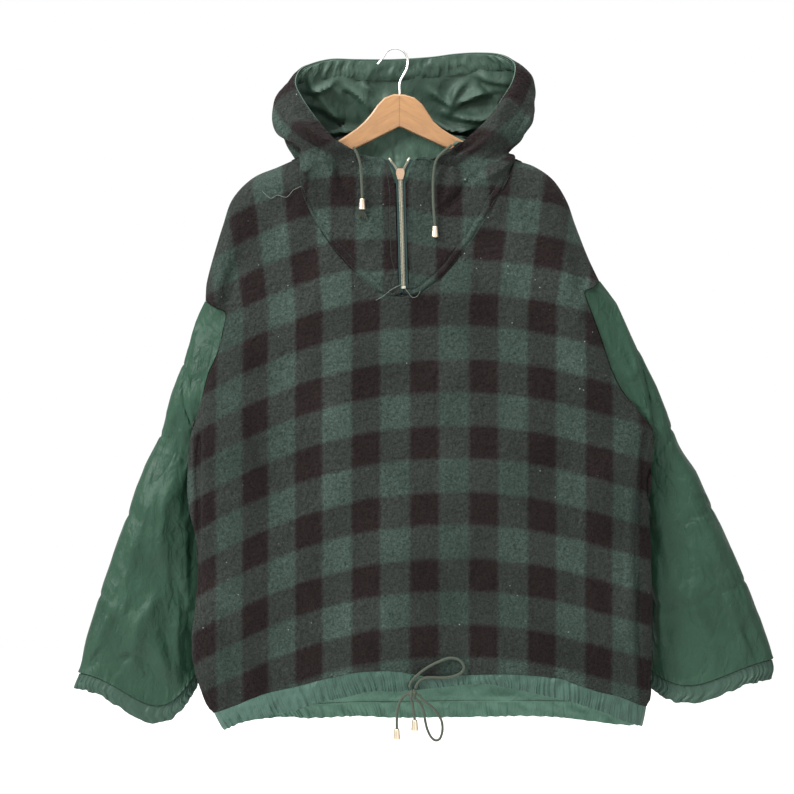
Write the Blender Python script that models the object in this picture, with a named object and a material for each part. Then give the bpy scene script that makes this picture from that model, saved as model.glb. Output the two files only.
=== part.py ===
"""A hooded half-zip fleece pullover hanging on a wooden hanger.

Metres, +Z up. The origin is the inside of the hook's bend, where the hanger is held; +X is the
garment's left-hand side as seen from the front (its wearer's left), and +Y points into the wall.
Tables are in millimetres and MM turns them into metres. Each panel of cloth is a wall between an
outer grid of points and the same grid moved in along its normals.
"""
import math

import bpy
import bmesh
import numpy as np
from mathutils import Vector

MM = 0.001

# Driving dimensions, in millimetres
FLEECE = 2.5             # fleece with its backing
NYLON = 1.2              # hem casings, cuffs
LINING = 1.0
SLEEVE_WALL = 2.0        # padded nylon, plain inside
QUILT_RISE = 3.0         # how far the padding puffs between two quilting lines
SEAM_GAP = 0.5
SLEEVE_GAP = 1.0         # the same, round the sleeves' curved seams
SKIN_GAP = 0.5           # between a lining and the cloth that backs it
CORD = 3.5               # diameter of the drawcords
WIRE = 3.2               # diameter of the hook's wire
WOOD_HALF = 6.0          # half the thickness of the hanger's wood
ZIP_HALF = 2.85          # half the width of the closed chain
TAPE_EDGE = 6.2          # from the zip's centre line to the edge of the tape
BIB_EDGE = 6.7           # from the zip's centre line to the edge of the fleece
CASING_WIDTH = 27.0      # drawstring casing round the hood's rim

BODY_ROWS = (0, 0.13, 0.28, 0.44, 0.59, 0.72, 0.83, 0.91, 0.965, 1)
EDGE_HOLD = 8            # how soon a panel's columns straighten away from the shoulder ridge
SQUARENESS = 0.7         # how square they meet the armholes
U_STEPS = 9              # mesh steps along one half of the bib's seam, as the hood has them
BIB_FINER = 3            # steps of the front panel to each of those
SEAM_STEPS = 3           # along the front of a sleeve seam, above the fold
ARMHOLE_STEPS = 6
SIDE_STEPS = 8
NECK_STEPS = 8
NECK_FINER = 6

# The torso's outline, in the plane of the garment: (x, y, z), from the top down
RIDGE_LEFT = [(-124, 0, -146), (-138, 0, -153), (-163, 0, -163), (-188, 0, -174), (-210, 0, -189),
              (-226, 0, -227), (-239, 0, -267), (-252, 0, -315), (-254, 0, -342)]
RIDGE_RIGHT = [(167, 0, -151), (190, 0, -158), (214, 0, -173), (234, 0, -200), (249, 0, -240),
               (265, 0, -281), (281, 0, -315)]
SEAM_FRONT_LEFT = [(-254, 0, -342), (-239, -20, -351), (-224, -24, -360)]
SEAM_FRONT_RIGHT = [(281, 0, -315), (270, -20, -324), (259, -24, -333)]
ARMHOLE_FRONT_LEFT = [(-224, -24, -360), (-228, -24, -384), (-233, -24, -408), (-246, -24, -437),
                      (-255, -24, -467), (-263, -24, -496), (-271, -22, -520)]
ARMHOLE_FRONT_RIGHT = [(259, -24, -333), (268, -24, -358), (275, -24, -378), (288, -24, -414),
                       (297, -24, -441), (315, -24, -473), (339, -24, -500), (352, -22, -522)]
ARMHOLE_BACK_LEFT = [(-254, 0, -342), (-238, 12, -362), (-233, 14, -395), (-238, 12, -435),
                     (-252, 0, -480), (-271, -22, -520)]
ARMHOLE_BACK_RIGHT = [(281, 0, -315), (268, 12, -340), (270, 14, -378), (284, 12, -425),
                      (315, 0, -478), (352, -22, -522)]
SIDE_LEFT = [(-271, -22, -520), (-276, -20, -560), (-275, -20, -624), (-268, -20, -651),
             (-262, -20, -691), (-266, -18, -751), (-271, -16, -810), (-265, -14, -849),
             (-252, -12, -889), (-242, -12, -899)]
SIDE_RIGHT = [(352, -22, -522), (351, -20, -560), (343, -20, -588), (347, -20, -631),
              (349, -20, -691), (351, -18, -750), (350, -16, -810), (349, -14, -850),
              (347, -12, -880), (344, -12, -890)]
CORNER_LEFT = [(-242, -12, -899), (-236, -12, -917), (-228, -12, -923)]
CORNER_RIGHT = [(344, -12, -890), (343, -12, -905), (338, -12, -918)]

# Lines across the torso: (x, z)
BACK_NECK = [(-124, -146), (-105, -133), (-75, -119), (-30, -112), (10, -111), (60, -113),
             (110, -122), (145, -137), (167, -151)]
BIB_LEFT = [(-124, -146), (-125, -173), (-121, -200), (-111, -224), (-98, -247), (-87, -263),
            (-72, -284), (-53, -304), (-35, -320), (-16, -333), (11, -338)]
BIB_RIGHT = [(11, -338), (37, -334), (56, -323), (76, -303), (99, -274), (129, -228),
             (148, -194), (160, -170), (167, -151)]
HEM_FRONT = [(-242, -899), (-214, -888), (-186, -876), (-165, -869), (-129, -861), (-83, -849),
             (-38, -841), (10, -841), (36, -848), (76, -847), (118, -845), (167, -845),
             (223, -850), (246, -858), (274, -867), (306, -875), (331, -886), (344, -890)]
CASING_FRONT = [(-228, -923), (-210, -913), (-190, -906), (-158, -898), (-129, -893),
                (-100, -883), (-64, -875), (-28, -867), (10, -867), (60, -862), (118, -857),
                (151, -861), (177, -867), (210, -874), (236, -880), (265, -889), (288, -897),
                (303, -904), (328, -914), (338, -918)]
HEM_BACK = [(-242, -899), (-200, -896), (-140, -893), (-47, -888), (5, -888), (118, -886),
            (233, -887), (300, -889), (344, -890)]
CASING_BACK = [(-228, -923), (-200, -916), (-147, -911), (-111, -913), (-47, -910), (5, -912),
               (118, -911), (184, -910), (233, -912), (275, -917), (315, -921), (338, -918)]

# Depth of the hanging torso at each height, in millimetres
DEPTH_COLUMNS = ("z", "front", "back")
DEPTHS = [
    (-100, 22, 22),
    (-150, 26, 23),
    (-250, 34, 24),
    (-340, 40, 25),
    (-480, 45, 26),
    (-650, 46, 26),
    (-800, 40, 25),
    (-900, 34, 24),
    (-940, 32, 23),
]
RIDGE_ROUND = 28.0       # how far in from the edge the cloth reaches its full depth
ARMHOLE_ROUND = 45.0
SIDE_ROUND = 64.0

# Soft folds of the body: a trough (negative) or ridge along a line, (x, z) to (x, z)
FOLD_COLUMNS = ("panel", "x0", "z0", "x1", "z1", "width", "rise")
FOLDS = [
    ("front", -226, -366, -204, -268, 13, -9),
    ("front", 261, -340, 246, -246, 13, -9),
    ("front", -196, -420, -214, -640, 26, 5),
    ("front", 262, -430, 292, -660, 28, 6),
    ("front", 232, -520, 252, -800, 26, -5),
    ("front", -168, -560, -150, -830, 24, -4),
    ("front", -60, -400, -110, -700, 34, 4),
    ("front", 120, -390, 160, -720, 34, 4),
    ("front", -118, -190, -150, -330, 20, 4),
    ("front", 160, -200, 190, -330, 20, 4),
    ("back", -150, -260, -170, -640, 34, 6),
    ("back", 190, -250, 220, -650, 34, 6),
    ("back", -40, -330, -60, -760, 30, -5),
    ("back", 90, -320, 110, -780, 32, -5),
]

# The hood and bib, one row for each section from the foot of the zip, up its left edge, round the
# rim and down to the zip again: the rim, the point the section bellies out to, and its outer seam.
# free is 0 where the piece lies on the chest and 1 where it stands clear of it.
HOOD_COLUMNS = ("rim_x", "rim_y", "rim_z", "belly_x", "belly_y", "belly_z", "free")
HOOD_LEFT = [
    (11.6, 0, -331, 11.3, 0, -334.5, 0),
    (8, 0, -322, -3, 0, -327.5, 0),
    (7, 0, -296, -16, 0, -305, 0),
    (5.8, 0, -262, -30, 0, -275, 0),
    (4.6, 0, -225, -40, 0, -243, 0),
    (3.4, 0, -188, -50, 0, -208, 0),
    (-8, 0, -154, -62, 0, -172, 0.1),
    (-28, -29, -149, -76, -31, -160, 0.5),
    (-50, -31, -143, -92, -34, -148, 1),
    (-72, -29, -130, -112, -32, -137, 1),
    (-92, -25, -110, -134, -24, -124, 1),
    (-109, -19, -88, -150, -10, -114, 1),
    (-123, -10, -67, -160, 8, -106, 1),
    (-133, 2, -45, -160, 26, -103, 1),
    (-128, 16, -25, -148, 44, -118, 1),
    (-112, 27, -15, -128, 57, -150, 1),
    (-84, 34, -8, -94, 64, -180, 1),
    (-50, 38, -8, -56, 67, -196, 1),
]
HOOD_RIGHT = [
    (52, 38, -5, 60, 67, -196, 1),
    (86, 35, -1, 104, 64, -182, 1),
    (120, 29, 0, 146, 56, -152, 1),
    (150, 18, -4, 178, 42, -112, 1),
    (167, 5, -18, 193, 26, -84, 1),
    (164, -7, -42, 194, 8, -82, 1),
    (149, -17, -68, 186, -10, -98, 1),
    (130, -24, -95, 171, -24, -115, 1),
    (108, -29, -117, 146, -33, -131, 1),
    (84, -31, -138, 122, -35, -148, 1),
    (60, -30, -150, 106, -32, -162, 0.6),
    (44, 0, -152, 96, 0, -171, 0.1),
    (28, 0, -155, 82, 0, -188, 0),
    (18.2, 0, -192, 70, 0, -215, 0),
    (19.2, 0, -226, 62, 0, -245, 0),
    (20.2, 0, -260, 52, 0, -275, 0),
    (21.0, 0, -292, 42, 0, -303, 0),
    (21.8, 0, -322, 30, 0, -327.5, 0),
    (14.6, 0, -331, 13, 0, -334.5, 0),
]
HOOD_MIDDLE = [(1, 38.5, -8, 2, 68, -202, 1)]
HOOD_HALF = (0, 0.3, 0.56, 0.76, 0.9, 1)   # mesh steps from the rim or the seam to the belly
HOOD_FULLNESS = 0.5      # how wide the belly of a section is
NECK_LIFT = 3.0          # how far the hood stands off the ends of the shoulder ridges
STRIP_FIRST = 17         # rows between which the hood's centre strip lies
STRIP_LAST = 19
STRIP_GAP = 1.0
LINING_FIRST = 9         # the lining starts where the bib leaves the chest
LINING_LAST = 28
LINING_ACROSS = 4        # and ends just above the hood's hanging fold
RIM_GATHERS = 26

# Sleeves: stations from just below the armhole to the cuff, outer and inner edge of the section
SLEEVE_COLUMNS = ("outer_x", "outer_y", "outer_z", "inner_x", "inner_y", "inner_z", "thick", "sag")
SLEEVE_LEFT = [
    (-266, 3, -370, -280, -8, -528, 36, 0),
    (-283, 6, -425, -282, 4, -540, 42, 0),
    (-303, 8, -480, -280, 16, -556, 50, 2),
    (-325, 10, -543, -274, 28, -580, 56, 6),
    (-351, 10, -612, -262, 36, -625, 60, 14),
    (-378, 10, -690, -252, 40, -690, 62, 24),
    (-405, 11, -770, -254, 38, -765, 60, 38),
    (-428, 12, -848, -264, 28, -838, 54, 50),
    (-435, 12, -868, -263, 26, -862, 50, 52),
]
SLEEVE_RIGHT = [
    (302, 2, -345, 359, -10, -528, 36, 0),
    (329, 6, -404, 366, 4, -542, 42, 0),
    (360, 8, -464, 366, 16, -562, 50, 2),
    (392, 10, -537, 358, 28, -590, 56, 6),
    (424, 10, -604, 344, 36, -634, 60, 12),
    (458, 10, -676, 334, 40, -696, 62, 15),
    (490, 11, -748, 336, 38, -768, 60, 20),
    (519, 12, -829, 351, 28, -842, 54, 26),
    (517, 12, -856, 349, 26, -866, 50, 26),
]
SLEEVE_FULLNESS = 0.8    # below 1 the section is fuller than an ellipse
SLEEVE_LAST = 7          # the station of the cuff seam
SLEEVE_ROWS = 16
QUILT_LINES = (2.1, 3.75, 5.3, 6.7)
CUFF_GATHERS = 16
CUFF_GATHER_RISE = 2.5
CUFF_INSET = 1.5
HEM_GATHERS_FRONT = 34
HEM_GATHERS_BACK = 20
HEM_GATHER_RISE = 2.4

# Hanger and hook, (x, z)
WOOD_TOP = [(-206, -203), (-198, -197), (-124, -157), (-90, -135), (-53, -111), (-42, -102),
            (-33, -93), (-24, -81), (-16, -70), (-5, -63), (10, -61), (30, -66), (43, -78),
            (53, -95), (62, -104), (74, -113), (98, -126), (167, -163), (208, -187),
            (215, -193)]
WOOD_BOTTOM = [(214, -206), (83, -139), (10, -105), (-55, -138), (-204, -212)]
HOOK_ROUTE = [(10, -60.6), (9.6, -49), (11, -42), (15.5, -34), (19.5, -26), (21, -17), (19.8, -10),
              (16, -3.4), (9, 0.9), (0, 1.6), (-7.5, -2.6), (-12, -9), (-16, -15), (-20, -20)]

# Drawcords: (x, y, z) at the hood, and (x, z) at the hem, with the y of the cloth they lie on
HOOD_CORD_LEFT = [(-52, -37.5, -137), (-47, -38, -147), (-43.5, -37, -158), (-42, -36, -172),
                  (-41, -36.5, -190), (-40.6, -37.5, -206)]
HOOD_CORD_RIGHT = [(80, -36.5, -134), (68, -37, -144), (60, -37, -153), (56, -36, -167),
                   (54.5, -36.5, -190), (55, -38.5, -214), (57, -41, -243)]
HEM_LOOP_UPPER = [(23, -861.5), (24, -857), (27.5, -851), (37, -842), (48, -834), (63, -826.5),
                  (76, -822), (88, -824), (95.5, -832), (93, -841), (82, -846.5), (68, -848.5),
                  (52, -848), (42, -849), (34.5, -855), (30.5, -863)]
HEM_LOOP_LOWER = [(35, -871), (44, -881), (54, -889), (62, -899), (66.5, -909), (67, -921),
                  (63.5, -931), (57.5, -933), (51.5, -928), (46.5, -917), (43.5, -904),
                  (41.5, -892), (36, -882), (30, -876)]
HEM_TAIL_LEFT = [(19, -871), (14, -875), (9.5, -882), (7, -892), (6, -904), (6, -917)]
HEM_TAIL_RIGHT = [(25, -876), (27, -884), (28, -892), (29, -899), (30, -905)]
CORD_END_LENGTH = 14.5
CORD_END_TOP = 3.6
CORD_END_FOOT = 5.0

ZIP_LINE = [(10.5, -165), (11, -180), (11.6, -200), (13, -250), (14.2, -300), (14.9, -320.5)]
ZIP_V_LEFT = [(-3, -153), (3, -160), (8, -169)]
ZIP_V_RIGHT = [(22, -152.5), (17.5, -160), (13, -169)]
SLIDER_TOP = -165.0
SLIDER_LENGTH = 14.7
SLIDER_HALF = 5.7

COLOURS = {
    "fleece": ((0.075, 0.085, 0.078, 1), 0.95, 0.0),
    "nylon": ((0.075, 0.16, 0.115, 1), 0.5, 0.0),
    "nylon_light": ((0.15, 0.25, 0.19, 1), 0.5, 0.0),
    "wood": ((0.62, 0.38, 0.17, 1), 0.45, 0.0),
    "wire": ((0.78, 0.78, 0.76, 1), 0.25, 1.0),
    "brass": ((0.72, 0.45, 0.30, 1), 0.35, 1.0),
    "silver": ((0.75, 0.75, 0.72, 1), 0.35, 1.0),
    "pale_metal": ((0.72, 0.62, 0.42, 1), 0.35, 1.0),
    "cord": ((0.16, 0.19, 0.14, 1), 0.8, 0.0),
    "tape": ((0.05, 0.14, 0.12, 1), 0.8, 0.0),
}


# ---------------------------------------------------------------- curves and grids

def smooth_rows(rows, at):
    """A smooth curve through rows of numbers, read at row numbers that need not be whole."""
    rows = np.asarray(rows, float)
    at = np.clip(np.asarray(at, float), 0, len(rows) - 1)
    padded = np.vstack([2 * rows[0] - rows[1], rows, 2 * rows[-1] - rows[-2]])
    first = np.minimum(at.astype(int), len(rows) - 2)
    t = (at - first)[:, None]
    p0, p1, p2, p3 = (padded[first + k] for k in range(4))
    return 0.5 * (2 * p1 + (p2 - p0) * t + (2 * p0 - 5 * p1 + 4 * p2 - p3) * t ** 2
                  + (3 * p1 - p0 - 3 * p2 + p3) * t ** 3)


def along(points, where):
    """Points at the given fractions of the length of a smooth curve through points."""
    dense = smooth_rows(points, np.linspace(0, len(points) - 1, 24 * len(points)))
    length = np.concatenate([[0], np.cumsum(np.linalg.norm(np.diff(dense, axis=0), axis=1))])
    wanted = np.asarray(where, float) * length[-1]
    return np.stack([np.interp(wanted, length, dense[:, k]) for k in range(dense.shape[1])], 1)


def evenly(points, steps):
    return along(points, np.linspace(0, 1, steps + 1))


def join(*pieces):
    """Polylines end to end, the shared points once."""
    return np.vstack([pieces[0]] + [piece[1:] for piece in pieces[1:]])


def normals(grid, closed=False):
    """Unit normals of a grid of points from its own differences; closed wraps its columns."""
    if closed:
        across = np.roll(grid, -1, 1) - np.roll(grid, 1, 1)
    else:
        across = np.gradient(grid, axis=1)
    down = np.gradient(grid, axis=0)
    normal = np.cross(across, down)
    return normal / np.maximum(np.linalg.norm(normal, axis=2, keepdims=True), 1e-9)


def facing(normal, towards):
    """The same normals, all turned to the side that `towards` points to on average."""
    return normal if np.sum(normal * towards) >= 0 else -normal


# ---------------------------------------------------------------- the hanging torso

def outline(side, panel):
    """The edges that a torso panel rounds towards: points (x, y, z) and the reach of the round."""
    ridge, armhole, flank, corner = {
        ("left", "front"): (RIDGE_LEFT, ARMHOLE_FRONT_LEFT, SIDE_LEFT, CORNER_LEFT),
        ("right", "front"): (RIDGE_RIGHT, ARMHOLE_FRONT_RIGHT, SIDE_RIGHT, CORNER_RIGHT),
        ("left", "back"): (RIDGE_LEFT, ARMHOLE_BACK_LEFT, SIDE_LEFT, CORNER_LEFT),
        ("right", "back"): (RIDGE_RIGHT, ARMHOLE_BACK_RIGHT, SIDE_RIGHT, CORNER_RIGHT),
    }[(side, panel)]
    edge = [evenly(ridge, 60), evenly(armhole, 60), evenly(flank, 120), evenly(corner, 12)]
    reach = [RIDGE_ROUND, ARMHOLE_ROUND, SIDE_ROUND, SIDE_ROUND]
    points = np.vstack(edge)
    return points, np.concatenate([np.full(len(e), r) for e, r in zip(edge, reach)])


OUTLINES = {panel: [outline("left", panel), outline("right", panel)] for panel in ("front", "back")}


def torso_y(panel, x, z):
    """Depth of the torso's outer face over the points (x, z) of the garment's plane.

    Within the round's reach of an edge it falls from full depth to the edge's own y as a quarter
    of an ellipse, and soft folds are added along their lines.
    """
    x, z = np.asarray(x, float), np.asarray(z, float)
    shape = x.shape
    flat = np.stack([x.ravel(), z.ravel()], 1)
    edge = np.vstack([points for points, _ in OUTLINES[panel]])
    reach = np.concatenate([r for _, r in OUTLINES[panel]])
    distance = np.linalg.norm(flat[:, None, :] - edge[None, :, (0, 2)], axis=2)
    nearest = distance.min(1)
    weight = np.exp(-(distance - nearest[:, None]) / 7.0)
    weight /= weight.sum(1, keepdims=True)
    edge_y, edge_reach = weight @ edge[:, 1], weight @ reach
    away = np.clip(nearest / edge_reach, 0, 1)
    roundness = np.sqrt(1 - (1 - away) ** 2)
    table = np.array(DEPTHS, float)[::-1]
    column = DEPTH_COLUMNS.index(panel)
    full = np.interp(flat[:, 1], table[:, 0], table[:, column])
    sign = -1 if panel == "front" else 1
    full = full + folds(panel, flat[:, 0], flat[:, 1])
    return (edge_y * (1 - roundness) + sign * full * roundness).reshape(shape)


def folds(panel, x, z):
    rise = np.zeros_like(x)
    for row in FOLDS:
        fold = dict(zip(FOLD_COLUMNS, row))
        if fold["panel"] != panel:
            continue
        start = np.array([fold["x0"], fold["z0"]], float)
        run = np.array([fold["x1"], fold["z1"]], float) - start
        t = ((x - start[0]) * run[0] + (z - start[1]) * run[1]) / (run @ run)
        t = np.clip(t, 0, 1)
        off = np.hypot(x - start[0] - t * run[0], z - start[1] - t * run[1])
        taper = np.sin(np.pi * np.clip(0.12 + 0.88 * t, 0, 1)) ** 0.6
        rise += fold["rise"] * taper * np.exp(-(off / fold["width"]) ** 2)
    return rise


def on_torso(panel, points, lift=0.0):
    """(x, z) points laid on a torso panel's outer face, moved out by lift."""
    points = np.asarray(points, float)
    sign = -1 if panel == "front" else 1
    y = torso_y(panel, points[..., 0], points[..., 1]) + sign * lift
    return np.stack([points[..., 0], y, points[..., 1]], -1)


def torso_normal(panel, x, z):
    """Outward unit normals of a torso panel, from its depth a little to each side."""
    sign = -1 if panel == "front" else 1
    slope_x = (torso_y(panel, x + 2.5, z) - torso_y(panel, x - 2.5, z)) / 5.0
    slope_z = (torso_y(panel, x, z + 2.5) - torso_y(panel, x, z - 2.5)) / 5.0
    normal = sign * np.stack([-slope_x, np.ones_like(slope_x), -slope_z], -1)
    return normal / np.linalg.norm(normal, axis=-1, keepdims=True)


def patch(inner, outer, left, right, down):
    """A grid over a four-sided piece: rows run from its inner edge to its outer edge.

    Each column is a curve that turns to meet an armhole nearly square; near the left and right
    edges the columns are pushed aside so that the first and last follow them.
    """
    share = np.linspace(0, 1, len(inner))[None, :, None]
    b = np.asarray(down, float)[:, None, None]
    run = np.gradient(outer, axis=0)
    square = np.stack([run[:, 1], -run[:, 0]], 1)
    square /= np.linalg.norm(square, axis=1, keepdims=True)
    across = outer - inner
    if np.sum(square * across) < 0:
        square = -square
    padded = np.vstack([square[:1]] * 2 + [square] + [square[-1:]] * 2)
    square = sum(weight * padded[k:k + len(square)] for k, weight in enumerate((1, 2, 3, 2, 1)))
    length = np.linalg.norm(across, axis=1, keepdims=True)
    from_end = np.minimum(np.arange(len(inner)), np.arange(len(inner))[::-1])[:, None]
    turned = SQUARENESS * np.clip(2.2 - from_end / (SEAM_STEPS + ARMHOLE_STEPS), 0, 1)
    arrive = turned * square / np.linalg.norm(square, axis=1, keepdims=True)
    arrive = length * (arrive + (1 - turned) * across / length)
    grid = ((2 * b ** 3 - 3 * b ** 2 + 1) * inner[None] + (b ** 3 - 2 * b ** 2 + b) * across[None]
            + (3 * b ** 2 - 2 * b ** 3) * outer[None] + (b ** 3 - b ** 2) * arrive[None])
    off_left = left[:, None] - grid[:, :1]
    off_right = right[:, None] - grid[:, -1:]
    return grid + (1 - share) ** EDGE_HOLD * off_left + share ** EDGE_HOLD * off_right


def flat(points):
    """Only x and z of a table of points."""
    return np.array([(point[0], point[-1]) for point in points], float)


def stepped(points, steps, finer):
    """Evenly spaced points along a curve, each straight step then cut into finer ones."""
    coarse = evenly(points, steps)
    at = np.linspace(0, steps, steps * finer + 1)
    return np.stack([np.interp(at, np.arange(steps + 1), coarse[:, k])
                     for k in range(coarse.shape[1])], 1)


# ---------------------------------------------------------------- solids

def material(name):
    existing = bpy.data.materials.get(name)
    if existing:
        return existing
    colour, roughness, metallic = COLOURS[name]
    made = bpy.data.materials.new(name)
    made.use_nodes = True
    shader = made.node_tree.nodes["Principled BSDF"]
    shader.inputs["Base Color"].default_value = colour
    shader.inputs["Roughness"].default_value = roughness
    shader.inputs["Metallic"].default_value = metallic
    made.diffuse_color = colour
    return made


def solid(name, vertices, faces, finish):
    """One closed body from points in millimetres, its faces turned outwards."""
    mesh = bpy.data.meshes.new(name)
    mesh.from_pydata([tuple(MM * float(c) for c in v) for v in vertices], [], faces)
    build = bmesh.new()
    build.from_mesh(mesh)
    bmesh.ops.recalc_face_normals(build, faces=build.faces)
    build.to_mesh(mesh)
    build.free()
    mesh.materials.append(material(finish))
    mesh.shade_smooth()
    mesh.set_sharp_from_angle(angle=math.radians(45))
    made = bpy.data.objects.new(name, mesh)
    bpy.context.scene.collection.objects.link(made)
    return made


def wall(name, outer, inner, finish, closed=False):
    """A wall of cloth between two grids of points; closed joins the last column to the first."""
    rows, columns = outer.shape[:2]
    vertices = np.vstack([outer.reshape(-1, 3), inner.reshape(-1, 3)])
    half = rows * columns

    def at(layer, row, column):
        return layer * half + row * columns + column % columns

    faces = []
    for row in range(rows - 1):
        for column in range(columns if closed else columns - 1):
            a, b = (row, column), (row, column + 1)
            c, d = (row + 1, column + 1), (row + 1, column)
            for triangle in ((a, b, c), (a, c, d)):
                faces.append([at(0, *corner) for corner in triangle])
                faces.append([at(1, *corner) for corner in reversed(triangle)])
    for column in range(columns if closed else columns - 1):
        faces.append([at(0, 0, column), at(1, 0, column), at(1, 0, column + 1),
                      at(0, 0, column + 1)])
        faces.append([at(0, rows - 1, column + 1), at(1, rows - 1, column + 1),
                      at(1, rows - 1, column), at(0, rows - 1, column)])
    if not closed:
        for row in range(rows - 1):
            faces.append([at(0, row + 1, 0), at(1, row + 1, 0), at(1, row, 0), at(0, row, 0)])
            faces.append([at(0, row, columns - 1), at(1, row, columns - 1),
                          at(1, row + 1, columns - 1), at(0, row + 1, columns - 1)])
    return solid(name, vertices, faces, finish)


# ---------------------------------------------------------------- body panels

def side_rows(panel, side):
    """The panel's side edge from the top of the armhole to the hem, and the share of height."""
    flank = evenly(SIDE_LEFT if side == "left" else SIDE_RIGHT, SIDE_STEPS)
    if panel == "front":
        seam = SEAM_FRONT_LEFT if side == "left" else SEAM_FRONT_RIGHT
        armhole = ARMHOLE_FRONT_LEFT if side == "left" else ARMHOLE_FRONT_RIGHT
        top = join(evenly(seam, SEAM_STEPS), evenly(armhole, ARMHOLE_STEPS))
    else:
        armhole = ARMHOLE_BACK_LEFT if side == "left" else ARMHOLE_BACK_RIGHT
        top = evenly(armhole, SEAM_STEPS + ARMHOLE_STEPS)
    return join(top, flank)


def body_grid(panel):
    """The panel's outer face: rows from the neck or the bib's seam out to armholes, sides, hem."""
    side_left, side_right = side_rows(panel, "left"), side_rows(panel, "right")
    left, right = flat(side_left), flat(side_right)
    if panel == "front":
        bib = join(evenly(BIB_LEFT, U_STEPS), evenly(BIB_RIGHT, U_STEPS))
        at = np.linspace(0, 2 * U_STEPS, 2 * U_STEPS * BIB_FINER + 1)
        inner = np.stack([np.interp(at, np.arange(len(bib)), bib[:, k]) for k in range(2)], 1)
        hem = HEM_FRONT
    else:
        inner = stepped(BACK_NECK, NECK_STEPS, NECK_FINER)
        hem = HEM_BACK
    hem_steps = len(inner) - 1 - 2 * (len(left) - 1)
    outer = join(left, evenly(hem, hem_steps), right[::-1])
    down = np.array(BODY_ROWS)
    ridge_left, ridge_right = along(flat(RIDGE_LEFT), down), along(flat(RIDGE_RIGHT), down)
    grid = on_torso(panel, patch(inner, outer, ridge_left, ridge_right, down))
    finer = BIB_FINER if panel == "front" else NECK_FINER
    every = np.arange(0, len(inner), finer)
    grid[0, :, 1] = np.interp(np.arange(len(inner)), every, grid[0, every, 1])
    grid[:, (0, -1), 1] = 0
    grid[-1, :len(left), 1] = side_left[:, 1]
    grid[-1, -len(right):, 1] = side_right[::-1, 1]
    return grid


def sideways(path, outward):
    """Level unit directions square to a path of (x, y, z) points, pointing to the outward side."""
    run = np.gradient(path[:, (0, 2)], axis=0)
    run /= np.linalg.norm(run, axis=1, keepdims=True)
    return np.stack([outward * -run[:, 1], 0 * run[:, 0], outward * run[:, 0]], 1)


def rounding(side, sign):
    """Normals along the front of a sleeve seam: outward on the fold, turning to straight ahead."""
    turn = np.linspace(0, 0.5 * np.pi, SEAM_STEPS + 1)
    outward = -1 if side == "left" else 1
    return np.stack([outward * np.cos(turn), sign * np.sin(turn), 0 * turn], 1)


def body(panel):
    """A body panel; along the shoulders and sides its wall goes in level, clear of the other."""
    grid = body_grid(panel)
    sign = -1 if panel == "front" else 1
    armhole = SEAM_STEPS + ARMHOLE_STEPS
    flank = armhole + SIDE_STEPS
    count = grid.shape[1]
    normal = torso_normal(panel, grid[..., 0], grid[..., 2])
    for side, outward, edge in (("left", -1, list(range(count))),
                                ("right", 1, list(range(count - 1, -1, -1)))):
        ridge, rim = edge[0], edge[:flank + 1]
        normal[:, ridge] = sideways(grid[:, ridge], outward)
        level = sideways(grid[-1, rim], outward)
        level[:armhole] = 0.8 * level[:armhole] + np.array((0, 0.6 * sign, 0))
        level[:SEAM_STEPS + 1] = rounding(side, sign)
        normal[-1, rim] = level
        grid[:, ridge, 1] += 0.5 * sign * SEAM_GAP
        grid[-1, rim[armhole:], 1] += 0.5 * sign * SEAM_GAP
    wall(panel + "_body", grid, grid - FLEECE * normal, "fleece")


# ---------------------------------------------------------------- hood and bib

def seam_line():
    """The hood's outer seam: up the bib's left half, round the back neck, down its right half.

    It runs on the straight edges of the body panels' own mesh, a gap clear of them.
    """
    left = on_torso("front", evenly(BIB_LEFT, U_STEPS))[::-1]
    right = on_torso("front", evenly(BIB_RIGHT, U_STEPS)[::-1])
    neck = on_torso("back", evenly(BACK_NECK, NECK_STEPS))
    steps = len(HOOD_LEFT) + len(HOOD_MIDDLE) + len(HOOD_RIGHT) - 1 - 2 * U_STEPS
    share = np.linspace(0, NECK_STEPS, steps + 1)
    neck = np.stack([np.interp(share, np.arange(NECK_STEPS + 1), neck[:, k]) for k in range(3)], 1)
    for bib in (left, right):
        run = np.gradient(bib[:, (0, 2)], axis=0)
        run /= np.linalg.norm(run, axis=1, keepdims=True)
        bib[:, 0] += SEAM_GAP * run[:, 1]
        bib[:, 2] -= SEAM_GAP * run[:, 0]
    neck[:, 1] += 3 * SEAM_GAP
    neck[:, 2] += 3 * SEAM_GAP
    for corner, inward in ((0, 1), (-1, -1)):
        neck[corner] = (neck[corner, 0] + 0.5 * inward, 0.0, neck[corner, 2])
        for step in range(4):
            neck[corner + step * inward, 2] += NECK_LIFT * (1 - 0.25 * step)
    left[-2, 2] += 0.5 * SEAM_GAP
    return np.vstack([left[:-1], neck, right[1:]])


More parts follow.
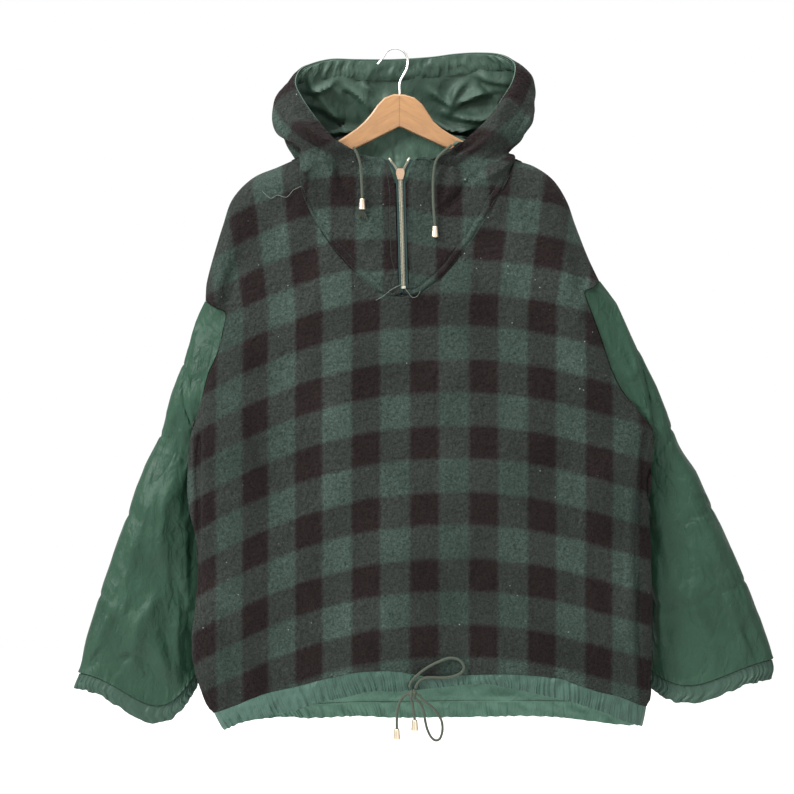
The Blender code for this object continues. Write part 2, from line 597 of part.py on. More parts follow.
def hood_sections():
    """The hood's and bib's outer face: one section for each row of its table.

    Each section is a cubic curve from the rim to the seam that turns round at the belly, read at
    steps that close up towards it; on the chest its depth is the torso's.
    """
    rows = np.array(HOOD_LEFT + HOOD_MIDDLE + HOOD_RIGHT, float)
    column = {name: rows[:, k] for k, name in enumerate(HOOD_COLUMNS)}
    rim = np.stack([column["rim_x"], column["rim_y"], column["rim_z"]], 1)
    belly = np.stack([column["belly_x"], column["belly_y"], column["belly_z"]], 1)
    seam = seam_line()
    for point in (rim, belly):
        chest = torso_y("front", point[:, 0], point[:, 2])
        point[:, 1] = np.where(column["free"] < 0.2, chest, point[:, 1])
    t = np.linspace(0, 1, 61)[None, :, None]
    middle = (8 * belly - rim - seam) / 6
    reach = belly - 0.5 * (rim + seam)
    reach /= np.linalg.norm(reach, axis=1, keepdims=True)
    outwards = np.sum((rim - seam) * reach, axis=1, keepdims=True) * reach
    spread = HOOD_FULLNESS * (rim - seam - outwards) - 0.5 * outwards
    first, second = (middle + spread)[:, None], (middle - spread)[:, None]
    dense = ((1 - t) ** 3 * rim[:, None] + 3 * t * (1 - t) ** 2 * first
             + 3 * t ** 2 * (1 - t) * second + t ** 3 * seam[:, None])
    chest = torso_y("front", dense[..., 0], dense[..., 2])
    free = column["free"][:, None] * (1 - t[..., 0] ** 6)
    on_chest = column["free"][:, None] < 1
    dense[..., 1] = np.where(on_chest, free * dense[..., 1] + (1 - free) * chest, dense[..., 1])
    step = np.linalg.norm(np.diff(dense, axis=1), axis=2)
    length = np.concatenate([np.zeros((len(rows), 1)), np.cumsum(step, 1)], 1)
    grid = np.empty((len(rows), 2 * len(HOOD_HALF) - 1, 3))
    even = np.linspace(0, 1, len(HOOD_HALF))
    for row in range(len(rows)):
        belly_at, whole = length[row, 30], length[row, -1]
        near = even + np.clip(whole / 100 - 1, 0, 1) * (np.array(HOOD_HALF) - even)
        wanted = np.concatenate([belly_at * near, whole - (whole - belly_at) * near[-2::-1]])
        for k in range(3):
            grid[row, :, k] = np.interp(wanted, length[row], dense[row, :, k])
    return grid


def hood_grid():
    """Points and normals of the whole hood, on lines that its pieces share."""
    grid = hood_sections()
    normal = normals(grid)
    middle = len(grid) // 2
    if np.sum(normal[middle, :3, 1]) < 0:
        normal = -normal
    return grid, normal


def hood_pieces():
    grid, normal = hood_grid()
    cuts = {"hood_left": (0, STRIP_FIRST), "hood_centre": (STRIP_FIRST, STRIP_LAST),
            "hood_right": (STRIP_LAST, len(grid) - 1)}
    for name, (first, last) in cuts.items():
        part = grid[first:last + 1].copy()
        part_normal = normal[first:last + 1]
        for end, inward in ((0, 1), (-1, -2)):
            step = part[inward] - part[end]
            length_of = np.linalg.norm(step, axis=1, keepdims=True)
            part[end] += STRIP_GAP * step / np.maximum(length_of, 1e-6)
        wall(name, part, part - FLEECE * part_normal, "fleece")
    inside = slice(LINING_FIRST, LINING_LAST + 1)
    face, face_normal = grid[inside, :LINING_ACROSS + 1], normal[inside, :LINING_ACROSS + 1]
    depth = FLEECE + 2 * SKIN_GAP
    lining = face - depth * face_normal
    wall("hood_lining", lining, lining - LINING * face_normal, "nylon")
    casing(face, face_normal, depth + LINING + 4 * SKIN_GAP)


def casing(face, normal, depth):
    """The gathered casing: its wall's inner side is raised in waves along the rim."""
    steps = 4 * RIM_GATHERS
    at = np.linspace(1.2, len(face) - 2.2, steps + 1)
    low = np.minimum(at.astype(int), len(face) - 2)
    part = (at - low)[:, None, None]
    step = np.linalg.norm(face[:, 1] - face[:, 0], axis=1)
    share = CASING_WIDTH / np.interp(at, np.arange(len(step)), step)
    first = face[low] * (1 - part) + face[low + 1] * part
    towards = normal[low] * (1 - part) + normal[low + 1] * part
    columns = np.stack([0.1 * np.ones_like(share), share], 1)
    cell = np.minimum(columns.astype(int), face.shape[1] - 2)
    f = (columns - cell)[..., None]
    rows = np.arange(len(at))[:, None]
    points = first[rows, cell] * (1 - f) + first[rows, cell + 1] * f
    inward = towards[rows, cell] * (1 - f) + towards[rows, cell + 1] * f
    wave = 0.5 - 0.5 * np.cos(2 * np.pi * np.arange(steps + 1) / 4)
    rise = (1.0 + 2.2 * wave)[:, None, None] * np.array([0.7, 1.0])[None, :, None]
    backed = points - depth * inward
    wall("hood_rim_casing", backed - (LINING + rise - 1) * inward, backed, "nylon")


# ---------------------------------------------------------------- sleeves and cuffs

def seam_ring(side, columns):
    """The armhole seam as a ring: down the front to the armpit and up the back."""
    half = columns // 2
    front = side_rows("front", side)[:half + 1]
    back = side_rows("back", side)[:half + 1]
    outward = -1 if side == "left" else 1
    front = front + SLEEVE_GAP * sideways(front, outward)
    back = back + SLEEVE_GAP * sideways(back, outward)
    return np.vstack([front[:-1], back[:0:-1]])


def sleeve_ring(station, columns):
    """A section of the sleeve: a full ellipse between its outer and inner edge, sagging."""
    row = dict(zip(SLEEVE_COLUMNS, station))
    outer = np.array([row["outer_x"], row["outer_y"], row["outer_z"]])
    inner = np.array([row["inner_x"], row["inner_y"], row["inner_z"]])
    angle = 2 * np.pi * np.arange(columns) / columns
    reach = np.sign(np.cos(angle)) * np.abs(np.cos(angle)) ** SLEEVE_FULLNESS
    bulge = -np.sign(np.sin(angle)) * np.abs(np.sin(angle)) ** SLEEVE_FULLNESS
    half = 0.5 * (outer - inner)
    sideways = np.cross(half, np.cross(half, (0, 1, 0)))
    sideways = -sideways / np.linalg.norm(sideways)
    centre = 0.5 * (outer + inner)
    ring = centre + reach[:, None] * half + 0.5 * row["thick"] * bulge[:, None] * sideways
    share = np.clip(0.5 - 0.5 * reach, 0, 1)
    ring[:, 2] -= row["sag"] * np.sin(np.pi * share ** 1.7)
    return ring


def sleeve_grid(side, at, columns):
    stations = np.array(SLEEVE_LEFT if side == "left" else SLEEVE_RIGHT, float)
    start = seam_ring(side, columns)
    rows = []
    for g in at:
        ring = sleeve_ring(smooth_rows(stations, [max(g - 1, 0)])[0], columns)
        if g < 1:
            ring = (1 - g) * start + g * ring
        rows.append(ring)
    return np.array(rows)


def sleeve(side):
    columns = 2 * (SEAM_STEPS + ARMHOLE_STEPS)
    at = np.linspace(0, SLEEVE_LAST + 1, SLEEVE_ROWS + 1)
    grid = sleeve_grid(side, at, columns)
    normal = normals(grid, closed=True)
    outward = grid - grid.mean(1, keepdims=True)
    normal = facing(normal, outward)
    half = columns // 2
    normal[0, :half] = (0, -1, 0)
    normal[0, half:] = (0, 1, 0)
    normal[0, :SEAM_STEPS + 1] = rounding(side, -1)
    normal[0, -SEAM_STEPS:] = rounding(side, 1)[:0:-1]
    normal[0, half] = (0, 0, -1)
    puff = np.ones(len(at))
    for line in QUILT_LINES:
        puff = np.minimum(puff, np.clip(np.abs(at - line) / 0.55, 0, 1))
    puff = np.sqrt(1 - (1 - puff) ** 2)
    fade = np.clip(at / 1.2, 0, 1) * np.clip((at[-1] - at) / 0.6, 0, 1)
    raised = grid + (QUILT_RISE * puff * fade)[:, None, None] * normal
    wall(side + "_sleeve", raised, grid - SLEEVE_WALL * normal, "nylon", closed=True)


def cuff(side):
    columns = 4 * CUFF_GATHERS
    last = len(SLEEVE_LEFT)
    start = SLEEVE_LAST + 1
    at = np.linspace(start + 0.05, last, 2)
    grid = sleeve_grid(side, at, columns)
    normal = facing(normals(grid, closed=True), grid - grid.mean(1, keepdims=True))
    grid = grid - (SLEEVE_WALL + CUFF_INSET) * normal
    wave = 0.5 - 0.5 * np.cos(2 * np.pi * np.arange(columns) / 4)
    rise = (CUFF_GATHER_RISE * wave)[None, :, None] * np.array([0.85, 1.0])[:, None, None]
    wall(side + "_cuff", grid + rise * normal, grid + (rise - NYLON) * normal, "nylon_light",
         closed=True)


# ---------------------------------------------------------------- hem

def hem_casing(name, panel, upper, lower, gathers):
    steps = 4 * gathers
    share = np.linspace(0, 1, steps + 1)
    top, foot = along(upper, share), along(lower, share)
    apart = foot - top
    apart /= np.linalg.norm(apart, axis=1, keepdims=True)
    top = top + 2.5 * SEAM_GAP * apart
    top[0, 0] += SEAM_GAP
    top[-1, 0] -= SEAM_GAP
    down = np.array([0, 1.0])[:, None, None]
    grid = on_torso(panel, (1 - down) * top[None] + down * foot[None])
    sign = -1 if panel == "front" else 1
    wave = 0.5 - 0.5 * np.cos(2 * np.pi * np.arange(steps + 1) / 4)
    level = 0.5 * SEAM_GAP + HEM_GATHER_RISE * wave
    grid[..., 1] += sign * level[None, :] * np.array([0.8, 1.0])[:, None]
    grid[:, (0, -1), 1] = grid[:, (0, -1), 1] + sign * 0.2
    inner = grid.copy()
    inner[..., 1] -= sign * NYLON
    inner[:, (0, -1), 1] = grid[:, (0, -1), 1]
    inner[:, 0, 0] += NYLON
    inner[:, -1, 0] -= NYLON
    wall(name, grid, inner, "nylon_light")


def lining_panel(name, upper, lower, columns, rows):
    """A skin of lining on the inner face of the back."""
    top, foot = evenly(upper, columns), evenly(lower, columns)
    down = np.linspace(0, 1, rows + 1)[:, None, None]
    grid = on_torso("back", (1 - down) * top[None] + down * foot[None], -(FLEECE + 5 * SKIN_GAP))
    inner = grid.copy()
    inner[..., 1] -= LINING
    wall(name, grid, inner, "nylon")


# ---------------------------------------------------------------- zip, cords, hanger

def bar(name, centre, half_width, front, back, finish):
    """A strip along a line of (x, y, z) points: half_width each side, from front to back in y."""
    rows = []
    for x, y, z in centre:
        rows.append([(x - half_width, y + front, z), (x + half_width, y + front, z),
                     (x + half_width, y + back, z), (x - half_width, y + back, z)])
    vertices = [v for row in rows for v in row]
    faces = [[0, 1, 2, 3], [4 * len(rows) - 1 - k for k in range(4)]]
    for row in range(len(rows) - 1):
        for k in range(4):
            a, b = 4 * row + k, 4 * row + (k + 1) % 4
            faces.append([a, a + 4, b + 4, b])
    return solid(name, vertices, faces, finish)


def zip_depth(x, z):
    return torso_y("front", np.array([x]), np.array([z]))[0]


def zip_parts():
    line = evenly(ZIP_LINE, 10)
    lower = line[line[:, 1] < SLIDER_TOP - 7]
    depth = [zip_depth(*point) for point in lower]
    chain = [(x, y, z) for (x, z), y in zip(lower, depth)]
    bar("zip_chain", chain[1:], ZIP_HALF, 0.1, 2.0, "silver")
    for side, sign, v_line in (("left", -1, ZIP_V_LEFT), ("right", 1, ZIP_V_RIGHT)):
        middle = 0.5 * (ZIP_HALF + SEAM_GAP + TAPE_EDGE)
        half = 0.5 * (TAPE_EDGE - ZIP_HALF - SEAM_GAP)
        upper = [(x + sign * (half + 1.2), zip_depth(x, z), z) for x, z in v_line]
        below = [(x + sign * middle, y, z) for x, y, z in chain[1:]]
        bar("zip_tape_" + side, upper + below, half, 1.2, 2.0, "tape")


def boolean(target, tool, operation):
    """Join or cut with a tool that stays in the file as a hidden wire."""
    tool.hide_render = True
    tool.display_type = "WIRE"
    modifier = target.modifiers.new(operation.title(), "BOOLEAN")
    modifier.operation = operation
    modifier.object = tool
    modifier.solver = "EXACT"


def prism(name, profile, low, high, finish, axis="y"):
    """A straight prism: a profile in x and z (or y and z), from low to high along the axis."""
    count = len(profile)
    vertices = []
    for level in (low, high):
        for a, b in profile:
            vertices.append((a, level, b) if axis == "y" else (level, a, b))
    faces = [list(range(count)), list(range(2 * count - 1, count - 1, -1))]
    for k in range(count):
        n = (k + 1) % count
        faces.append([k, k + count, n + count, n])
    return solid(name, vertices, faces, finish)


def disc(centre, radius, count=16, start=0.0):
    return [(centre[0] + radius * math.cos(start + 2 * math.pi * k / count),
             centre[1] + radius * math.sin(start + 2 * math.pi * k / count)) for k in range(count)]


TAB_LENGTH = 24.0        # from the hinge to the tab's foot
TAB_HALF = 2.6
BARREL_HALF = 2.2
TAB_THICK = 1.2
HINGE_DROP = 3.2         # below the slider's top
HINGE_STAND = 2.6        # behind the slider's back plate
PIN = 0.8


def slider_and_tab():
    """The slider's two plates and wedge, with a bail behind that the pull tab swings on."""
    x = 10.6
    top = SLIDER_TOP
    face = zip_depth(x, top - 0.5 * SLIDER_LENGTH)
    shape = [(x - 3.6, top), (x + 3.6, top), (x + SLIDER_HALF, top - 3.6),
             (x + SLIDER_HALF, top - 7.0), (x + 3.5, top - SLIDER_LENGTH),
             (x - 3.5, top - SLIDER_LENGTH), (x - SLIDER_HALF, top - 7.0),
             (x - SLIDER_HALF, top - 3.6)]
    slider = prism("zip_slider", shape, face - 2.4, face - 0.9, "brass")
    back = prism("slider_back_form", shape, face + 2.5, face + 3.8, "brass")
    wedge = prism("slider_wedge_form", [(x - 1.0, top - 1), (x + 1.0, top - 1),
                                        (x + 1.0, top - 4.6), (x - 1.0, top - 4.6)],
                  face - 1.2, face + 2.9, "brass")
    hinge_y = face + 3.8 + HINGE_STAND
    hinge_z = top - HINGE_DROP
    lugs = []
    for name, low, high in (("slider_lug_left", x - 4.6, x - 3.2),
                            ("slider_lug_right", x + 3.2, x + 4.6)):
        lug = [(face + 3.4, hinge_z - 1.8), (hinge_y + 1.2, hinge_z - 1.8),
               (hinge_y + 1.7, hinge_z), (hinge_y + 1.2, hinge_z + 1.8), (face + 3.4, hinge_z + 1.8)]
        lugs.append(prism(name, lug, low, high, "brass", axis="x"))
    pin = prism("slider_pin_form", disc((hinge_y, hinge_z), PIN, 10), x - 4.0, x + 4.0, "brass",
                axis="x")
    for tool in [back, wedge] + lugs + [pin]:
        boolean(slider, tool, "UNION")
    low = -TAB_LENGTH
    outline_tab = [(-TAB_HALF, -1.4), (TAB_HALF, -1.4), (TAB_HALF, low + 1.5), (TAB_HALF - 1.5, low),
                   (-TAB_HALF + 1.5, low), (-TAB_HALF, low + 1.5)]
    tab = prism("zip_pull_tab", outline_tab, -0.5 * TAB_THICK, 0.5 * TAB_THICK, "brass")
    barrel = prism("tab_barrel_form", disc((0, 0), 2.1, 14), -BARREL_HALF, BARREL_HALF, "brass", axis="x")
    bore = prism("tab_bore_form", disc((0, 0), PIN + 0.35, 12), -6, 6, "brass", axis="x")
    boolean(tab, barrel, "UNION")
    boolean(tab, bore, "DIFFERENCE")
    for piece in (tab, barrel, bore):
        piece.location = Vector((x, hinge_y, hinge_z)) * MM
    return hinge_y, hinge_z


def cord(name, route, lift, diameter=CORD):
    """A drawcord as a round tube along a smooth curve through its own points."""
    length = np.sum(np.linalg.norm(np.diff(np.array(route, float), axis=0), axis=1))
    steps = max(6, int(length / (2.2 * diameter)))
    points = evenly(route, steps)
    if points.shape[1] == 2:
        y = torso_y("front", points[:, 0], points[:, 1]) - lift
        points = np.stack([points[:, 0], y, points[:, 1]], 1)
    return tube(name, points, diameter, "cord", 2)


def tube(name, points, diameter, finish, resolution):
    curve = bpy.data.curves.new(name, "CURVE")
    curve.dimensions = "3D"
    curve.bevel_depth = 0.5 * diameter * MM
    curve.bevel_resolution = resolution
    curve.use_fill_caps = True
    spline = curve.splines.new("POLY")
    spline.points.add(len(points) - 1)
    for place, point in zip(spline.points, points):
        place.co = (*(MM * float(c) for c in point), 1)
    curve.materials.append(material(finish))
    made = bpy.data.objects.new(name, curve)
    bpy.context.scene.collection.objects.link(made)
    return made


def cord_end(name, top):
    """A metal cord end: a short cone, wider at its foot, standing below the end of a cord."""
    rings = [(0, CORD_END_TOP - 0.5), (0.6, CORD_END_TOP), (CORD_END_LENGTH - 1, CORD_END_FOOT),
             (CORD_END_LENGTH, CORD_END_FOOT - 0.7)]
    sides = 12
    vertices = []
    for drop, radius in rings:
        for k in range(sides):
            angle = 2 * math.pi * k / sides
            vertices.append((top[0] + radius * math.cos(angle), top[1] + radius * math.sin(angle),
                             top[2] - drop))
    faces = [list(range(sides)), list(range(len(vertices) - sides, len(vertices)))]
    for ring in range(len(rings) - 1):
        for k in range(sides):
            a, b = ring * sides + k, ring * sides + (k + 1) % sides
            faces.append([a, b, b + sides, a + sides])
    return solid(name, vertices, faces, "pale_metal")


def cords():
    hem_lift = 0.5 * CORD + HEM_GATHER_RISE + 1.6
    for name, route in (("hood_cord_left", HOOD_CORD_LEFT), ("hood_cord_right", HOOD_CORD_RIGHT),
                        ("hem_cord_tail_left", HEM_TAIL_LEFT),
                        ("hem_cord_tail_right", HEM_TAIL_RIGHT)):
        cord(name, route, hem_lift)
        x, y, z = route[-1] if len(route[-1]) == 3 else (
            route[-1][0], zip_depth(*route[-1]) - hem_lift, route[-1][1])
        cord_end(name + "_end", (x, y, z - SEAM_GAP))
    cord("hem_cord_loop_upper", HEM_LOOP_UPPER, hem_lift)
    cord("hem_cord_loop_lower", HEM_LOOP_LOWER, hem_lift)
    knot = [(21, -872), (33, -868)]
    y = zip_depth(27, -870) - hem_lift
    tube("hem_cord_knot", [(knot[0][0], y, knot[0][1]), (knot[1][0], y, knot[1][1])], 7.0,
         "cord", 2)


def hanger():
    outline_points = list(evenly(WOOD_TOP, 36)) + list(WOOD_BOTTOM)
    block = prism("hanger_wood", [(x, z) for x, z in outline_points], -WOOD_HALF, WOOD_HALF, "wood")
    bevel = block.modifiers.new("Rounded edges", "BEVEL")
    bevel.width = 2.2 * MM
    bevel.segments = 2
    bevel.limit_method = "ANGLE"
    bevel.angle_limit = math.radians(50)
    points = [(x, 0, z) for x, z in evenly(HOOK_ROUTE, 30)]
    tube("hanger_hook", points, WIRE, "wire", 2)


def clear_scene():
    for old in list(bpy.data.objects):
        bpy.data.objects.remove(old, do_unlink=True)


def main():
    clear_scene()
    body("front")
    body("back")
    hood_pieces()
    for side in ("left", "right"):
        sleeve(side)
        cuff(side)
    hem_casing("front_hem_casing", "front", HEM_FRONT, CASING_FRONT, HEM_GATHERS_FRONT)
    hem_casing("back_hem_casing", "back", HEM_BACK, CASING_BACK, HEM_GATHERS_BACK)
    lining_panel("neck_lining", [(-88, -128), (-30, -117), (10, -116), (60, -118), (120, -130)],
                 [(-108, -178), (10, -180), (142, -178)], 14, 3)
    lining_panel("back_lining", [(-190, -840), (10, -832), (276, -840)],
                 [(-184, -886), (10, -880), (272, -882)], 22, 2)
    zip_parts()
    slider_and_tab()
    cords()
    hanger()


main()
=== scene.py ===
# %% [markdown]
# # A hooded half-zip fleece pullover on a wooden hanger
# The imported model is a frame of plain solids. This script dresses it: each plain piece of cloth is
# replaced by a fine shell on the same lines, with its folds, gathers, seams and weave, and the
# metal, wood and cord get their real finish. Lengths in tables are millimetres.

# %% The frame
import math

import bpy
import bmesh
import numpy as np
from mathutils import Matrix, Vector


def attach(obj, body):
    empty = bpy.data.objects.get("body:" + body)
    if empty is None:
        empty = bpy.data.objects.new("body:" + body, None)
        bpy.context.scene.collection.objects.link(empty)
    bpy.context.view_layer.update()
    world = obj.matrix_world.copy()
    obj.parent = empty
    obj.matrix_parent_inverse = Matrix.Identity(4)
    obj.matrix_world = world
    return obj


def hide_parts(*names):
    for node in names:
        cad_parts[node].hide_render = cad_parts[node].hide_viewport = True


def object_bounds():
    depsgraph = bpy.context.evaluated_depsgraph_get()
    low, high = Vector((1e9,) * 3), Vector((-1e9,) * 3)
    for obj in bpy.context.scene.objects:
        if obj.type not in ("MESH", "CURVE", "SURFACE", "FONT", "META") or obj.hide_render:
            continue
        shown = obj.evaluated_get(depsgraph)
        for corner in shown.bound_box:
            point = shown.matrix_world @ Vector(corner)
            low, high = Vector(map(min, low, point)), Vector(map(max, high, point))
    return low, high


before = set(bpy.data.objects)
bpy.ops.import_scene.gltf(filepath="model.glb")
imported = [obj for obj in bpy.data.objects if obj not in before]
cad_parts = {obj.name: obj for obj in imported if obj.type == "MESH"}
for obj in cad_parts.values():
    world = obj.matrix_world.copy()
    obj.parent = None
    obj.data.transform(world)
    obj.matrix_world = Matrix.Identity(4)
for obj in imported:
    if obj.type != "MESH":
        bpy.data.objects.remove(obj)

MM = 0.001
GARMENT = "garment"
cad_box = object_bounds()

# %% [markdown]
# ## Camera
# The photograph is taken straight on, from about three metres, so the lens is long and level. One
# pixel of its 794 x 794 frame is 1.35 mm in the garment's plane, which fixes lens and distance.

# %% Camera
PIXEL = 1.35             # mm in the plane of the garment
FRAME_PIXELS = 794
ORIGIN_PIXEL = (392.4, 47.0)
CAMERA_DISTANCE = 2.9    # metres
CLOTH_FORWARD = 0.02     # metres that the cloth stands in front of the hook
SENSOR = 36.0


def link(name, data):
    """A new object of the scene, at the origin."""
    made = bpy.data.objects.new(name, data)
    bpy.context.scene.collection.objects.link(made)
    return made


def pixel_to_plane(u, v):
    """x and z in millimetres of a place in the photograph's frame."""
    return (u - ORIGIN_PIXEL[0]) * PIXEL, (ORIGIN_PIXEL[1] - v) * PIXEL


def plane_to_pixel(x, z):
    return ORIGIN_PIXEL[0] + x / PIXEL, ORIGIN_PIXEL[1] - z / PIXEL


camera_data = bpy.data.cameras.new("camera")
camera_data.sensor_width = SENSOR
camera_data.lens = SENSOR * CAMERA_DISTANCE / (FRAME_PIXELS * PIXEL * MM)
camera_data.clip_start = 0.05
camera = link("camera", camera_data)
centre_x, centre_z = pixel_to_plane(0.5 * FRAME_PIXELS, 0.5 * FRAME_PIXELS)
camera.location = (centre_x * MM, -CAMERA_DISTANCE - CLOTH_FORWARD, centre_z * MM)
camera.rotation_euler = (0.5 * math.pi, 0, 0)
bpy.context.scene.camera = camera
bpy.context.scene.view_settings.view_transform = "Standard"
print("lens", round(camera_data.lens, 1), "mm")

# %% [markdown]
# ## Floor and light
# The wall behind is nearly white and the light is soft, from a window in front and above on the
# left. A pale world gives the even part, and four large panels give the folds their shape.

# %% Floor and light
FLOOR_BELOW, FLOOR_HALF = 0.35, 4.0      # metres under the garment, and half the floor's side


def floor():
    low, half = cad_box[0][2] - FLOOR_BELOW, FLOOR_HALF
    mesh = bpy.data.meshes.new("floor")
    mesh.from_pydata([(-half, -half, low), (half, -half, low), (half, half, low), (-half, half, low)],
                     [], [(0, 1, 2, 3)])
    pale = bpy.data.materials.new("pale_floor")
    pale.use_nodes = True
    shader = pale.node_tree.nodes["Principled BSDF"]
    shader.inputs["Base Color"].default_value = (0.86, 0.86, 0.85, 1)
    shader.inputs["Roughness"].default_value = 1.0
    mesh.materials.append(pale)
    link("floor", mesh)


def panel_light(name, place, size, power):
    lamp = bpy.data.lights.new(name, "AREA")
    lamp.shape = "RECTANGLE"
    lamp.size, lamp.size_y = size
    lamp.energy = power
    made = link(name, lamp)
    made.location = place
    from_aim = made.location - type(made.location)(MIDDLE)
    made.rotation_euler = from_aim.to_track_quat("Z", "Y").to_euler()


MIDDLE = (0.0, 0.0, -0.45)     # metres, what each light is turned to
floor()
panel_light("window_left", (-2.1, -1.7, 1.1), (1.1, 1.1), 200)
panel_light("front_fill", (1.7, -2.6, -0.1), (2.0, 2.0), 20)
panel_light("ceiling", (0.1, -0.6, 1.9), (1.5, 0.9), 85)
panel_light("behind", (0.3, 2.4, 0.8), (2.0, 2.0), 30)
world = bpy.data.worlds.new("pale_world")
bpy.context.scene.world = world
world.use_nodes = True
background = world.node_tree.nodes["Background"]
background.inputs["Color"].default_value = (1, 1, 1, 1)
background.inputs["Strength"].default_value = 1.0

# %% [markdown]
# ## The frame's own measures
# The solids were worked out from these tables, and the shells below follow the same lines, so a
# fold or a seam lies where its solid is. Outlines are (x, z) or (x, y, z) from the top down.

# %% Measures of the solids
FLEECE = 2.5             # fleece with its backing
NYLON = 1.2              # hem casings, cuffs
LINING = 1.0
SLEEVE_WALL = 2.0        # padded nylon, plain inside
QUILT_RISE = 3.0         # how far the padding puffs between two quilting lines
SEAM_GAP = 0.5
SLEEVE_GAP = 1.0         # the same, round the sleeves' curved seams
SKIN_GAP = 0.5           # between a lining and the cloth that backs it
CORD = 3.5               # diameter of the drawcords
TAPE_EDGE = 6.2          # from the zip's centre line to the edge of the tape
CASING_WIDTH = 27.0      # drawstring casing round the hood's rim

BODY_ROWS = (0, 0.13, 0.28, 0.44, 0.59, 0.72, 0.83, 0.91, 0.965, 1)
EDGE_HOLD = 8            # how soon a panel's columns straighten away from the shoulder ridge
SQUARENESS = 0.7         # how square they meet the armholes
U_STEPS = 9              # mesh steps along one half of the bib's seam, as the hood has them
BIB_FINER = 3            # steps of the front panel to each of those
SEAM_STEPS = 3           # along the front of a sleeve seam, above the fold
ARMHOLE_STEPS = 6
SIDE_STEPS = 8
NECK_STEPS = 8
NECK_FINER = 6

# The torso's outline, in the plane of the garment: (x, y, z), from the top down
RIDGE = {
    "left": [(-124, 0, -146), (-138, 0, -153), (-163, 0, -163), (-188, 0, -174), (-210, 0, -189),
             (-226, 0, -227), (-239, 0, -267), (-252, 0, -315), (-254, 0, -342)],
    "right": [(167, 0, -151), (190, 0, -158), (214, 0, -173), (234, 0, -200), (249, 0, -240),
              (265, 0, -281), (281, 0, -315)],
}
SEAM_FRONT = {
    "left": [(-254, 0, -342), (-239, -20, -351), (-224, -24, -360)],
    "right": [(281, 0, -315), (270, -20, -324), (259, -24, -333)],
}
ARMHOLE_FRONT = {
    "left": [(-224, -24, -360), (-228, -24, -384), (-233, -24, -408), (-246, -24, -437),
             (-255, -24, -467), (-263, -24, -496), (-271, -22, -520)],
    "right": [(259, -24, -333), (268, -24, -358), (275, -24, -378), (288, -24, -414), (297, -24, -441),
              (315, -24, -473), (339, -24, -500), (352, -22, -522)],
}
ARMHOLE_BACK = {
    "left": [(-254, 0, -342), (-238, 12, -362), (-233, 14, -395), (-238, 12, -435), (-252, 0, -480),
             (-271, -22, -520)],
    "right": [(281, 0, -315), (268, 12, -340), (270, 14, -378), (284, 12, -425), (315, 0, -478),
              (352, -22, -522)],
}
FLANK = {
    "left": [(-271, -22, -520), (-276, -20, -560), (-275, -20, -624), (-268, -20, -651),
             (-262, -20, -691), (-266, -18, -751), (-271, -16, -810), (-265, -14, -849),
             (-252, -12, -889), (-242, -12, -899)],
    "right": [(352, -22, -522), (351, -20, -560), (343, -20, -588), (347, -20, -631), (349, -20, -691),
              (351, -18, -750), (350, -16, -810), (349, -14, -850), (347, -12, -880), (344, -12, -890)],
}
CORNER = {
    "left": [(-242, -12, -899), (-236, -12, -917), (-228, -12, -923)],
    "right": [(344, -12, -890), (343, -12, -905), (338, -12, -918)],
}
ARMHOLE = {"front": ARMHOLE_FRONT, "back": ARMHOLE_BACK}

# Lines across the torso: (x, z)
BACK_NECK = [(-124, -146), (-105, -133), (-75, -119), (-30, -112), (10, -111), (60, -113),
             (110, -122), (145, -137), (167, -151)]
BIB_LEFT = [(-124, -146), (-125, -173), (-121, -200), (-111, -224), (-98, -247), (-87, -263),
            (-72, -284), (-53, -304), (-35, -320), (-16, -333), (11, -338)]
BIB_RIGHT = [(11, -338), (37, -334), (56, -323), (76, -303), (99, -274), (129, -228),
             (148, -194), (160, -170), (167, -151)]
HEM_FRONT = [(-242, -899), (-214, -888), (-186, -876), (-165, -869), (-129, -861), (-83, -849),
             (-38, -841), (10, -841), (36, -848), (76, -847), (118, -845), (167, -845),
             (223, -850), (246, -858), (274, -867), (306, -875), (331, -886), (344, -890)]
CASING_FRONT = [(-228, -923), (-210, -913), (-190, -906), (-158, -898), (-129, -893),
                (-100, -883), (-64, -875), (-28, -867), (10, -867), (60, -862), (118, -857),
                (151, -861), (177, -867), (210, -874), (236, -880), (265, -889), (288, -897),
                (303, -904), (328, -914), (338, -918)]
HEM_BACK = [(-242, -899), (-200, -896), (-140, -893), (-47, -888), (5, -888), (118, -886),
            (233, -887), (300, -889), (344, -890)]
CASING_BACK = [(-228, -923), (-200, -916), (-147, -911), (-111, -913), (-47, -910), (5, -912),
               (118, -911), (184, -910), (233, -912), (275, -917), (315, -921), (338, -918)]

# Depth of the hanging torso at each height, in millimetres
DEPTH_COLUMNS = ("z", "front", "back")
DEPTHS = [
    (-100, 22, 22),
    (-150, 26, 23),
    (-250, 34, 24),
    (-340, 40, 25),
    (-480, 45, 26),
    (-650, 46, 26),
    (-800, 40, 25),
    (-900, 34, 24),
    (-940, 32, 23),
]
RIDGE_ROUND = 28.0       # how far in from the edge the cloth reaches its full depth
ARMHOLE_ROUND = 45.0
SIDE_ROUND = 64.0

